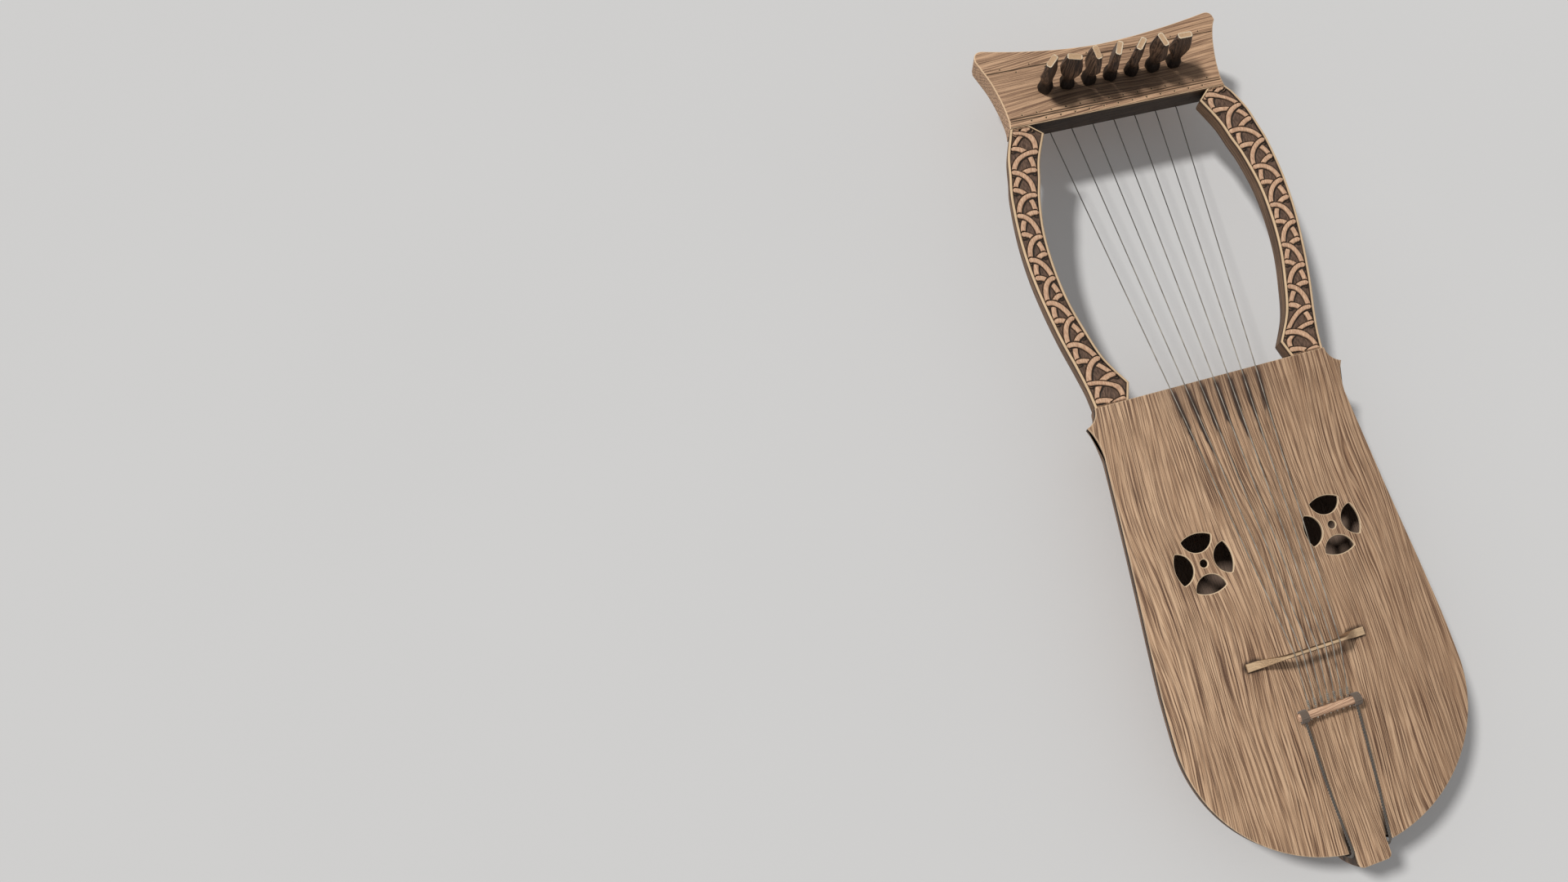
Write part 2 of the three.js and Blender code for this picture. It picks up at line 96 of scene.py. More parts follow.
FAN = {"bar": 5.9, "bridge": 6.8, "yoke": PEG_PITCH}
CORD_RADIUS = 1.3
KNOT_X = 24.0

MM = 0.001
WELD = 0.01  # points of a plate nearer than this are one point


# Plane curves


def lerp(a, b, t):
    return a + (b - a) * t


def smooth(t):
    t = np.clip(t, 0, 1)
    return t * t * (3 - 2 * t)


def around(count):
    """Evenly spaced angles, once round."""
    return np.linspace(0, 2 * math.pi, count, endpoint=False)


def circle(radius, turn):
    """Points on a circle, or on an ellipse if the radius is a pair."""
    return np.array(radius) * np.column_stack([np.cos(turn), np.sin(turn)])


def line(a, b, steps):
    t = np.linspace(0, 1, steps + 1)[:, None]
    return lerp(np.array(a, float), np.array(b, float), t)


def bezier(a, b, c, steps):
    t = np.linspace(0, 1, steps + 1)[:, None]
    a, b, c = (np.array(p, float) for p in (a, b, c))
    return (1 - t) ** 2 * a + 2 * t * (1 - t) * b + t**2 * c


def spline(points, steps):
    """Catmull-Rom through the points, sampled evenly in its parameter."""
    points = np.array(points, float)
    return np.array([spline_at(points, t) for t in np.linspace(0, 1, steps + 1)])


def spline_at(points, t):
    last = len(points) - 1
    place = t * last
    i = min(int(place), last - 1)
    w = place - i
    p0, p1, p2, p3 = points[max(i - 1, 0)], points[i], points[i + 1], points[min(i + 2, last)]
    v0, v1 = (p2 - p0) / 2, (p3 - p1) / 2
    cubic = (2 * p1 - 2 * p2 + v0 + v1) * w**3 + (-3 * p1 + 3 * p2 - 2 * v0 - v1) * w**2
    return cubic + v0 * w + p1


def joined(*pieces):
    """One run of points, without the repeated ends."""
    run = [pieces[0]]
    for piece in pieces[1:]:
        skip = 1 if np.allclose(piece[0], run[-1][-1]) else 0
        run.append(piece[skip:])
    return np.concatenate(run)


def mirrored(half):
    return np.concatenate([half, half[::-1] * [-1, 1]])


def lengths_along(run):
    """How far along a run of points each of them lies."""
    steps = np.linalg.norm(np.diff(run, axis=0), axis=1)
    return np.concatenate([[0], np.cumsum(steps)])


def sampled(run, places):
    """Points of a run at some distances along it."""
    along = lengths_along(run)
    return np.column_stack([np.interp(places, along, column) for column in run.T])


def cut_corners(ring):
    for _ in range(2):
        ahead = np.roll(ring, -1, axis=0)
        ring = np.stack([lerp(ring, ahead, 0.25), lerp(ring, ahead, 0.75)], axis=1).reshape(-1, 2)
    return ring


def level(ring, z):
    """A plane ring of points at height z."""
    return np.column_stack([ring, np.full(len(ring), z)])


def fan_places(pitch):
    """Where the strings or pegs stand across the lyre."""
    return [(i - (STRINGS - 1) / 2) * pitch for i in range(STRINGS)]


# Meshes


def loft(rings):
    """Points and faces of a closed skin over rings that all have the same count."""
    rings = np.asarray(rings, float)
    layers, count = rings.shape[:2]
    faces = []
    for a in range(0, (layers - 1) * count, count):
        for i in range(count):
            j = (i + 1) % count
            faces.append((a + i, a + j, a + count + j, a + count + i))
    faces.append(tuple(range(count - 1, -1, -1)))
    faces.append(tuple(range((layers - 1) * count, layers * count)))
    return rings.reshape(-1, 3), faces


def frames_along(path, start):
    """Two directions square to a path at each point, without twisting round it."""
    ahead = np.gradient(path, axis=0)
    ahead /= np.linalg.norm(ahead, axis=1)[:, None]
    side = np.cross(ahead[0], start)
    for d in ahead:
        side = side - d * np.dot(side, d)
        side /= np.linalg.norm(side)
        yield side, np.cross(d, side)


def tube(path, radius, sides=8):
    turn = around(sides)
    rings = []
    for p, (side, up) in zip(path, frames_along(path, (0.31, 0.17, 0.93))):
        rings.append(p + radius * (np.cos(turn)[:, None] * side + np.sin(turn)[:, None] * up))
    return loft(rings)


def merged(*parts):
    """Points and faces of several meshes as one."""
    points = []
    faces = []
    for more, their_faces in parts:
        start = sum(len(p) for p in points)
        points.append(np.asarray(more))
        faces += [tuple(start + i for i in face) for face in their_faces]
    return np.concatenate(points), faces


def box(x, y, z):
    """Points and faces of a box between two values along each axis."""
    points = np.array([(a, b, c) for a in x for b in y for c in z])
    return points, [(0, 1, 3, 2), (4, 6, 7, 5), (0, 4, 5, 1), (2, 3, 7, 6), (0, 2, 6, 4), (1, 5, 7, 3)]


@contextmanager
def editing(obj):
    bm = bmesh.new()
    bm.from_mesh(obj.data)
    yield bm
    bm.to_mesh(obj.data)
    bm.free()


def in_scene(name, data):
    made = bpy.data.objects.new(name, data)
    bpy.context.scene.collection.objects.link(made)
    return made


def new_object(name, points, faces):
    mesh = bpy.data.meshes.new(name)
    mesh.from_pydata((np.asarray(points) * MM).tolist(), [], faces)
    made = in_scene(name, mesh)
    with editing(made) as bm:
        bmesh.ops.recalc_face_normals(bm, faces=bm.faces)
    return made


def evaluated_mesh(obj):
    graph = bpy.context.evaluated_depsgraph_get()
    graph.update()
    return bpy.data.meshes.new_from_object(obj.evaluated_get(graph))


def applied(obj):
    """Turns the object's modifiers into its mesh."""
    mesh = evaluated_mesh(obj)
    obj.modifiers.clear()
    obj.data = mesh
    return obj


def boolean(obj, other, operation):
    step = obj.modifiers.new("cut", "BOOLEAN")
    step.operation = operation
    step.solver = "EXACT"
    step.object = other
    applied(obj)
    bpy.data.objects.remove(other)


def bevelled(obj, width, angle=30):
    step = obj.modifiers.new("bevel", "BEVEL")
    step.width = width * MM
    step.segments = 2
    step.limit_method = "ANGLE"
    step.angle_limit = math.radians(angle)
    return applied(obj)


def plate(name, loops, low, high, bevel):
    """A flat plate with holes and rounded edges. The first loop is its outline."""
    curve = bpy.data.curves.new(name, "CURVE")
    curve.dimensions = "2D"
    curve.fill_mode = "BOTH"
    curve.extrude = ((high - low) / 2 - bevel) * MM
    curve.bevel_depth = bevel * MM
    curve.bevel_resolution = 3
    curve.offset = -bevel * MM
    for loop in loops:
        run = curve.splines.new("POLY")
        run.points.add(len(loop) - 1)
        weight = np.ones(len(loop))
        run.points.foreach_set("co", np.column_stack([level(loop * MM, 0.0), weight]).ravel())
        run.use_cyclic_u = True
    drawn = in_scene(name + "_curve", curve)
    mesh = evaluated_mesh(drawn)
    bpy.data.objects.remove(drawn)
    mesh.transform(Matrix.Translation((0, 0, (low + high) / 2 * MM)))
    made = in_scene(name, mesh)
    with editing(made) as bm:
        bmesh.ops.remove_doubles(bm, verts=bm.verts, dist=WELD * MM)
        bmesh.ops.dissolve_degenerate(bm, edges=bm.edges, dist=WELD * MM)
        bmesh.ops.recalc_face_normals(bm, faces=bm.faces)
    return made


def finished(obj, material, body, replaces, sharp=32):
    """Gives a piece its material, shading and body, and hides the CAD nodes it replaces."""
    obj.data.materials.clear()
    obj.data.materials.append(material)
    obj.data.shade_smooth()
    obj.data.set_sharp_from_angle(angle=math.radians(sharp))
    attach(obj, body)
    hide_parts(*replaces)


def painted(obj, name, values):
    """Stores one number at each point of a mesh, for its material to read."""
    layer = obj.data.attributes.new(name, "FLOAT", "POINT")
    layer.data.foreach_set("value", np.asarray(values, dtype=np.float32))


def points_of(obj):
    """The mesh's points in millimetres, as columns x, y and z."""
    found = np.empty(len(obj.data.vertices) * 3, dtype=np.float32)
    obj.data.vertices.foreach_get("co", found)
    return found.reshape(-1, 3) / MM


# Materials


class Graph:
    """Short names for building one material's nodes."""

    def __init__(self, name):
        self.material = bpy.data.materials.new(name)
        self.material.use_nodes = True
        self.tree = self.material.node_tree
        self.shader = self.tree.nodes["Principled BSDF"]

    def node(self, kind, **values):
        made = self.tree.nodes.new("ShaderNode" + kind)
        for key, value in values.items():
            setattr(made, key, value)
        return made

    def link(self, source, target):
        self.tree.links.new(source, target)

    def feed(self, sockets, values):
        """Gives each socket its link, its number, or its colour as that looks on screen."""
        for socket, value in zip(sockets, values):
            if isinstance(value, bpy.types.NodeSocket):
                self.link(value, socket)
            else:
                socket.default_value = linear(value) if isinstance(value, tuple) else value

    def math(self, operation, a, b=0.0, c=0.0, clamp=False):
        made = self.node("Math", operation=operation, use_clamp=clamp)
        self.feed(made.inputs, (a, b, c))
        return made.outputs[0]

    def add(self, a, b):
        return self.math("ADD", a, b)

    def minus(self, a, b):
        return self.math("SUBTRACT", a, b)

    def times(self, a, b):
        return self.math("MULTIPLY", a, b)

    def size(self, a):
        return self.math("ABSOLUTE", a)

    def ramp(self, value, low, high, to_low=0.0, to_high=1.0):
        """Smooth step of a value from low to high."""
        made = self.node("MapRange", interpolation_type="SMOOTHSTEP")
        self.feed(made.inputs, (value, low, high, to_low, to_high))
        return made.outputs[0]

    def mix(self, factor, a, b):
        made = self.node("Mix", data_type="RGBA", clamp_factor=True)
        colours = [socket for socket in made.inputs if socket.type == "RGBA"]
        self.feed((made.inputs[0], *colours), (factor, a, b))
        return next(socket for socket in made.outputs if socket.type == "RGBA")

    def stain(self, colour, mask, strength, tint):
        """The colour with a tint over it where the mask is."""
        return self.mix(self.times(mask, strength), colour, tint)

    def apart(self, vector):
        made = self.node("SeparateXYZ")
        self.link(vector, made.inputs[0])
        return made.outputs

    def place(self):
        """The mesh's own coordinates, in millimetres, as x, y and z."""
        scaled = self.node("VectorMath", operation="SCALE")
        scaled.inputs["Scale"].default_value = 1 / MM
        self.link(self.node("TexCoord").outputs["Object"], scaled.inputs[0])
        return self.apart(scaled.outputs[0])

    def facing(self):
        """The surface's own direction, as x, y and z."""
        return self.apart(self.node("NewGeometry").outputs["Normal"])

    def noise(self, place, scales, detail=2.0, rough=0.5):
        """Noise at a place, with its own scale along each axis."""
        scaled = self.node("CombineXYZ")
        self.feed(scaled.inputs, [self.times(p, scale) for p, scale in zip(place, scales)])
        made = self.node("TexNoise")
        made.inputs["Scale"].default_value = 1.0
        made.inputs["Detail"].default_value = detail
        made.inputs["Roughness"].default_value = rough
        self.link(scaled.outputs[0], made.inputs["Vector"])
        return made.outputs["Fac"]

    def attribute(self, name):
        return self.node("Attribute", attribute_name=name).outputs["Fac"]

    def from_segment(self, x, y, a, b):
        """Distance to the straight run from a to b."""
        dx, dy = b[0] - a[0], b[1] - a[1]
        size = dx * dx + dy * dy
        px, py = self.minus(x, a[0]), self.minus(y, a[1])
        t = self.math("MULTIPLY_ADD", px, dx / size, self.times(py, dy / size), clamp=True)
        qx, qy = self.math("MULTIPLY_ADD", t, -dx, px), self.math("MULTIPLY_ADD", t, -dy, py)
        return self.math("SQRT", self.add(self.times(qx, qx), self.times(qy, qy)))

    def surface(self, colour, rough, specular=0.5):
        inputs = self.shader.inputs
        self.feed((inputs["Base Color"], inputs["Roughness"]), (colour, rough))
        inputs["Specular IOR Level"].default_value = specular

    def bump(self, height, distance):
        made = self.node("Bump")
        made.inputs["Strength"].default_value = 1.0
        made.inputs["Distance"].default_value = distance * MM
        self.link(height, made.inputs["Height"])
        self.link(made.outputs[0], self.shader.inputs["Normal"])


def linear(colour):
    """The shader's value of a colour given as it looks on screen, 0 to 255."""
    shares = [v / 255 for v in colour]
    return *(v / 12.92 if v <= 0.04045 else ((v + 0.055) / 1.055) ** 2.4 for v in shares), 1.0


PALE_WEAR_AND_HIGHLIGHT = (240, 208, 168)  # rubbed pale edges, and painted highlight on the bridge's upward faces
BARE = (134, 115, 102)  # raw wood inside the bowl
PAINTED_SHADE = (17.89202, 9.88380, 6.58920)  # painted shade in creases, grooves and where parts meet


def wood(name, light, mid, dark, along="Y", fibre=1.0, streak=0.5, rough=0.6, seed=0.0, bump=0.25,
         extra=None):
    """Long-grained wood: long dark and light lines with short dark pores along one axis.

    Along "form", the lines follow the piece's own painted "girth" and "length" instead.
    extra(graph, colour, place) may change the colour before it reaches the shader.
    """
    g = Graph(name)
    x, y, z = g.place()
    if along == "form":
        across, run, deep = g.attribute("girth"), g.attribute("length"), 0.0
    else:
        across, run, deep = {"X": (y, x, z), "Y": (x, y, z), "Z": (x, z, y)}[along]
    run = g.add(run, seed * 137.0)
    straight = (across, run, deep)
    drift = g.noise(straight, (0.012, 0.0035, 0.012), 1.0)
    wobble = g.noise(straight, (0.06, 0.011, 0.06))
    shifted = g.add(g.add(across, g.times(drift, 46.0)), g.times(wobble, 5.0))
    shifted = g.add(shifted, g.times(deep, 0.6))
    bent = (shifted, run, deep)
    grain = g.noise(bent, (1.05 * fibre, 0.012, 0.6), 2.0, 0.6)
    tone = g.ramp(grain, 0.34, 0.62)
    rings = g.ramp(g.math("SINE", g.times(shifted, 1.45 * fibre)), -0.45, -0.95)
    patchy = g.noise(bent, (0.25, 0.02, 0.2), 1.0)
    rings = g.times(rings, g.ramp(patchy, 0.25, 0.55))
    pores = g.ramp(g.noise(bent, (1.5 * fibre, 0.035, 1.1)), 0.56, 0.68)
    blotch = g.noise(straight, (0.03, 0.012, 0.03))
    fleck = g.noise((x, y, z), (1.3, 1.3, 1.3), 3.0, 0.7)
    colour = g.mix(g.ramp(tone, 0.0, 0.42), dark, mid)
    colour = g.mix(g.ramp(tone, 0.4, 1.0), colour, light)
    colour = g.stain(colour, rings, 0.64, dark)
    colour = g.stain(colour, pores, streak, dark)
    colour = g.mix(g.ramp(blotch, 0.35, 0.75, 0.0, 0.3), colour, mid)
    colour = g.mix(g.ramp(fleck, 0.52, 0.72, 0.0, 0.3), colour, light)
    colour = g.mix(g.ramp(fleck, 0.46, 0.3, 0.0, 0.3), colour, dark)
    if extra:
        colour = extra(g, colour, (x, y, z))
    # Pale worn rims on the arms, and painted highlight on the bridge's upward faces.
    colour = g.stain(colour, g.attribute("wear_and_highlight"), 0.9, PALE_WEAR_AND_HIGHLIGHT)
    # Painted shade in creases, grooves and where parts meet.
    colour = g.stain(colour, g.attribute("painted_shade"), 0.92, PAINTED_SHADE)
    g.surface(colour, g.add(rough - 0.06, g.times(grain, 0.16)), 0.35)
    g.bump(g.add(g.times(tone, 0.5), g.times(pores, -0.5)), bump)
    return g.material


# The painted shade under the strings: its middle, and how its pitch widens towards the yoke
LANES_X = 1.5
LANES_WIDEN = 6.75 / 246.0

# Ends and reach of the painted shade round the bridge's feet, and of the painted shadow beside the cord
# towards its slots
FOOT_SHADE = [((side * 52, BRIDGE["y"]), (side * 43, BRIDGE["y"]), 7.5) for side in (-1, 1)]
SLOT_SHADOW = [((-21.0, -338), (-18.2, -372), 3.4), ((18.8, -338), (16.4, -372), 3.4)]


def board_marks(g, colour, place):
    """Soundboard: pale worn edges; painted shade under the strings, along the top edge, towards the right,
    round the bridge's feet and beside the cord by its slots.
    """
    x, y, _ = place
    edge = g.ramp(g.facing()[2], 0.995, 0.88)
    roses = []
    for side in (-1, 1):
        centre = (side * ROSE["x"], ROSE["y"])
        roses.append(g.from_segment(x, y, centre, (centre[0] + 0.01, centre[1])))
    by_rose = g.ramp(g.math("MINIMUM", *roses), ROSE["ring"] + 4, ROSE["ring"] + 2)
    pale = g.times(edge, g.math("MULTIPLY_ADD", by_rose, 0.55, 0.4))
    colour = g.mix(pale, colour, (246, 218, 182))
    pitch = g.add(g.times(g.minus(y, BRIDGE["y"]), LANES_WIDEN), FAN["bridge"])
    lane = g.math("DIVIDE", g.minus(x, LANES_X), pitch)
    near = g.times(g.size(g.minus(lane, g.math("ROUND", lane))), pitch)
    inside = g.ramp(g.size(lane), 3.45, 3.2)
    # Painted shade under the strings: dark streaks from the top edge, and thin dark lines down towards the
    # bridge.
    string_shade = g.times(g.ramp(near, 4.2, 1.4), inside)
    ragged = g.noise((x, y, 0.0), (0.35, 0.035, 0.0))
    low = g.math("MULTIPLY_ADD", ragged, 120.0, -74.0)
    top = g.times(g.ramp(g.minus(y, low), 0.0, 16.0), g.ramp(y, 39.0, 32.0))
    colour = g.stain(colour, g.times(string_shade, top), 0.95, (40, 29, 24))
    thin = g.times(g.ramp(near, 1.3, 0.4), inside)
    colour = g.stain(colour, g.times(thin, g.ramp(y, -190.0, 20.0)), 0.5, (66, 46, 36))
    # Painted shade along the top edge, among the strings.
    top_edge_shade = g.times(g.ramp(y, -10.0, 39.0), g.ramp(g.size(x), 66.0, 40.0))
    colour = g.stain(colour, top_edge_shade, 0.4, (84, 58, 44))
    # Painted shade: the board grows darker towards the right, away from the light.
    colour = g.mix(g.ramp(x, -10.0, 110.0, 0.0, 0.2), colour, (110, 78, 56))
    # Painted shade round the bridge's feet.
    for a, b, reach in FOOT_SHADE:
        near = g.ramp(g.from_segment(x, y, a, b), reach, reach * 0.3)
        colour = g.stain(colour, near, 0.95, (34, 22, 17))
    # Painted shadow beside each cord as it runs towards its slot.
    for a, b, reach in SLOT_SHADOW:
        near = g.ramp(g.from_segment(x, y, a, b), reach, reach * 0.1)
        colour = g.stain(colour, near, g.ramp(y, -336.0, -364.0), (26, 18, 14))
    return colour


def bowl_colours(g, colour, place):
    """Bowl: raw wood inside the chamber."""
    return g.stain(colour, g.attribute("raw"), 0.8, BARE)


def bridge_colours(g, colour, place):
    """Bridge: its right half is browner than its left."""
    return g.mix(g.ramp(place[0], 14.0, 30.0, 0.0, 0.45), colour, (120, 82, 58))


def carved_colours(g, colour, place):
    """Arms: pale interlace ribbons over a dark ground, and painted shade down the sides."""
    x, y, z = place
    patch = g.ramp(g.noise((x, y, 0.0), (0.9, 0.22, 0.0), 3.0), 0.3, 0.7)
    ground = g.mix(patch, (64, 47, 38), (120, 94, 78))
    colour = g.stain(colour, g.attribute("ground"), 0.9, ground)
    ribbon = g.mix(patch, (198, 154, 124), (238, 198, 163))
    colour = g.stain(colour, g.attribute("ribbon"), 0.95, ribbon)
    # Painted shade down the arms' side walls, below the rim.
    fading = g.ramp(z, ARM_Z - 4.5, ARM_Z - 2.5, 0.35, 1.0)
    side = g.times(fading, g.ramp(z, ARM_Z - 0.9, ARM_Z - 1.5))
    side = g.times(side, g.ramp(g.size(g.facing()[2]), 0.6, 0.3))
    return g.stain(colour, side, 0.85, (36, 25, 19))


# Incised lines along the yoke's front: their place and half length
YOKE_LINES = [(312.6, 103.2), (314.8, 103.2), (362.0, 111.5)]


def yoke_colours(g, colour, place):
    """Yoke: dark incisions, pale rounded rims, painted shade on the under-face and round the pegs at the
    back, and painted shadows of the pegs on the front below them.
    """
    x, y, z = place
    _, along, up = g.facing()
    front = g.ramp(z, ARM_Z - 3.5, ARM_Z - 2.5)
    rim = g.times(g.ramp(up, 0.99, 0.9), g.ramp(up, 0.1, 0.3))
    colour = g.mix(g.times(rim, front), colour, (236, 202, 164))
    # Painted shade on the under-face.
    under = g.times(g.ramp(along, -0.6, -0.9), g.ramp(y, YOKE_LOW_Y + 3, YOKE_LOW_Y + 1))
    colour = g.stain(colour, under, 0.92, (24, 18, 14))
    flat = g.times(g.ramp(up, 0.2, 0.5), front)
    for line_y, reach in YOKE_LINES:
        near = g.ramp(g.size(g.minus(y, line_y)), 0.85, 0.35)
        near = g.times(near, g.ramp(g.size(x), reach, reach - 0.5))
        colour = g.stain(colour, g.times(near, flat), 0.8, (52, 36, 27))
    # Painted shade round the pegs where they leave the yoke's back.
    row = g.from_segment(x, y, (-64.0, PEG_Y - 5.0), (64.0, PEG_Y - 5.0))
    peg_back_shade = g.times(g.ramp(row, 13.0, 5.0), g.ramp(z, YOKE_BACK_Z + 2, YOKE_BACK_Z + 1))
    colour = g.stain(colour, peg_back_shade, 0.85, (20, 14, 11))
    # Painted shadow of the pegs on the yoke's front, below and to the right of them.
    below = g.from_segment(x, y, (-50.0, PEG_Y - 11.0), (80.0, PEG_Y - 11.0))
    colour = g.stain(colour, g.ramp(below, 15.0, 6.0, 0.0, 0.72), front, (44, 31, 23))
    colour = g.stain(colour, g.ramp(x, 0.0, 110.0, 0.0, 0.2), front, (214, 172, 136))
    return g.stain(colour, g.attribute("incised"), 0.85, (40, 26, 19))


def peg_colours(g, colour, place):
    """Pegs: pale end grain on top, painted shade nearly black at the foot, brown knobs at the back."""
    z = place[2]
    top = g.times(g.ramp(z, ARM_Z + 44.0, ARM_Z + 45.0), g.ramp(g.facing()[2], 0.5, 0.8))
    end_grain = g.mix(g.attribute("border"), (214, 178, 140), (254, 236, 206))
    colour = g.stain(colour, top, 0.95, end_grain)
    knob = g.ramp(z, YOKE_BACK_Z - 7.0, YOKE_BACK_Z - 9.0)
    colour = g.stain(colour, knob, 0.7, (158, 124, 96))
    above_knob = g.minus(0.95, g.times(knob, 0.95))
    # Painted shade, nearly black, on the lower part of each peg's head.
    foot = g.ramp(z, ARM_Z + 24.0, ARM_Z + 8.0)
    return g.stain(colour, foot, above_knob, (16, 11, 9))


def string_material():
    g = Graph("twisted gut")
    x, y, z = g.place()
    twist = g.math("SINE", g.add(g.times(y, 7.0), g.times(g.add(x, z), 5.0)))
    tone = g.noise((x, y, z), (0.4, 0.08, 0.4))
    colour = g.mix(g.ramp(tone, 0.3, 0.7), (122, 114, 103), (186, 178, 165))
    colour = g.stain(colour, g.ramp(twist, 0.2, 1.0), 0.35, (92, 87, 80))
    # Painted shade: the strings grow darker towards the yoke.
    colour = g.mix(g.ramp(y, 60.0, 270.0, 0.0, 0.95), colour, (42, 38, 34))
    g.surface(colour, 0.38)
    g.bump(twist, 0.06)
    return g.material


def cord_material():
    g = Graph("twisted cord")
    x, y, z = g.place()
    fuzz = g.noise((x, y, z), (4.0, 4.0, 4.0), 4.0, 0.7)
    colour = g.mix(g.ramp(fuzz, 0.3, 0.7), (48, 43, 39), (118, 110, 101))
    knot = g.ramp(y, BAR["y"] - 6.0, BAR["y"] - 4.5)
    colour = g.stain(colour, knot, 0.45, (132, 110, 92))
    g.surface(colour, 0.85)
    g.shader.inputs["Sheen Weight"].default_value = 0.3
    g.bump(fuzz, 0.25)
    return g.material


BOARD_WOOD = wood("soundboard wood", (222, 186, 151), (182, 145, 113), (96, 68, 51),
                  streak=0.55, extra=board_marks)
BOWL_WOOD = wood("bowl wood", (178, 142, 112), (134, 101, 76), (58, 40, 30),
                 along="form", streak=0.6, seed=1.0, bump=0.4, extra=bowl_colours)
YOKE_WOOD = wood("yoke wood", (220, 180, 144), (180, 143, 113), (114, 84, 65),
                 along="X", streak=0.4, seed=2.0, extra=yoke_colours)
ARM_WOOD = wood("arm wood", (176, 140, 108), (132, 100, 75), (66, 47, 35),
                along="form", fibre=1.2, seed=3.0, extra=carved_colours)
PEG_WOOD = wood("peg wood", (122, 95, 75), (76, 57, 45), (30, 22, 17),
                along="Z", fibre=1.6, seed=4.0, rough=0.5, extra=peg_colours)
BRIDGE_WOOD = wood("bridge wood", (206, 172, 132), (160, 124, 92), (92, 64, 46),
                   along="X", fibre=2.0, seed=5.0, extra=bridge_colours)
BAR_WOOD = wood("bar wood", (238, 200, 168), (216, 174, 142), (150, 108, 84),
                along="X", fibre=1.6, streak=0.3, seed=6.0)
GUT = string_material()
CORD = cord_material()


# Bowl


CHAMBER_SPINE_TOP = -70.0


def half_body(fade):
    """Right half of the body's outline. Fade 0 has the pointed side tips, fade 1 has none."""
    horn_x = lerp(HORN[0], WAIST_X + 0.4, fade)
    flare = [(WAIST_X, -4), (117, -41), (121.3, -100), (127, -167), (130.3, -212), (BOUT_X, BOUT_Y)]
    turn = np.linspace(0, -math.pi / 2, 61)[:-1]
    bout = [0, BOUT_Y] + circle((BOUT_X, BOUT_Y - TAIL_Y), turn)
    return joined(
        line((1.0, BODY_TOP_Y), (SHOULDER_X, BODY_TOP_Y), 30),
        bezier((SHOULDER_X + 0.3, BODY_TOP_Y - 2), (SHOULDER_X + 1.5, HORN[1] + 4), (horn_x, HORN[1]), 14),
        bezier((horn_x, HORN[1]), (WAIST_X + 0.8, 14), (WAIST_X, -4), 14),
        spline(flare, 60),
        bout,
    )


def turn_in(depth, full, sideways):
    """How far the bowl has come in at a depth: sideways is 1 across the lyre and 0 along it."""
    straight = lerp(END_DROP, 0.0, sideways)
    reach = lerp(END_ROUND, SIDE_ROUND, sideways)
    t = np.clip((depth - straight) / (full - straight), 0, 1)
    return reach * (1 - np.sqrt(1 - t * t))


def nearest_spine(points, top, tail):
    return np.column_stack([np.zeros(len(points)), np.clip(points[:, 1], tail, top)])


def narrowed(ring, depth, full, top, tail):
    """The ring pulled in towards a spine along the middle of the bowl."""
    spine = nearest_spine(ring, top, tail)
    arm = ring - spine
    length = np.linalg.norm(arm, axis=1)
    sideways = (arm[:, 0] / length) ** 2
    kept = np.maximum(length - turn_in(depth, full, sideways), 1)
    return arm * (kept / length)[:, None] + spine


def depths(full, steps):
    """Depths from 0 to full, closer together towards the full depth."""
    return full * np.sin(np.linspace(0, math.pi / 2, steps + 1))


def hollow_rings(count):
    """The chamber's walls from its mouth down, in rings of some number of points."""
    reach = BOUT_X - WALL
    turn = np.linspace(0, -math.pi / 2, 30)[1:-1]
    half = joined(
        line((1.0, CHAMBER_TOP_Y), (92, CHAMBER_TOP_Y), 4),
        spline([(100, CHAMBER_TOP_Y - 8), (112, -100), (121, -190), (reach, BOUT_Y)], 30),
        [0, BOUT_Y] + circle((reach, BOUT_Y - CHAMBER_TAIL_Y), turn),
    )
    closed = np.vstack([mirrored(half), half[:1]])
    mouth = sampled(closed, np.linspace(0, lengths_along(closed)[-1], count, endpoint=False))
    full = RIM_Z - WALL
    return [
        level(narrowed(mouth, depth, full, CHAMBER_SPINE_TOP, BOUT_Y), RIM_Z - depth)
        for depth in depths(full, 16)
    ]


def bowl():
    outside = []
    for depth in depths(RIM_Z, 40)[::-1]:
        ring = mirrored(half_body(smooth(depth / HORN_DEPTH)))
        outside.append(level(narrowed(ring, depth, RIM_Z, -30, BOUT_Y), RIM_Z - depth))
    made = new_object("bowl", *loft(outside + hollow_rings(len(outside[0]))))
    for side in (-1, 1):
        near, far = sorted((side * TAB_X, side * NOTCH_X))
        notch = box((near, far), (TAB_Y - 5, NOTCH_Y), (LUG_Z - 5, RIM_Z + 1))
        boolean(made, new_object("notch", *notch), "DIFFERENCE")
    boolean(made, lug(), "UNION")
    finished(made, BOWL_WOOD, "frame", ["soundbox"])
    paint_bowl(made)


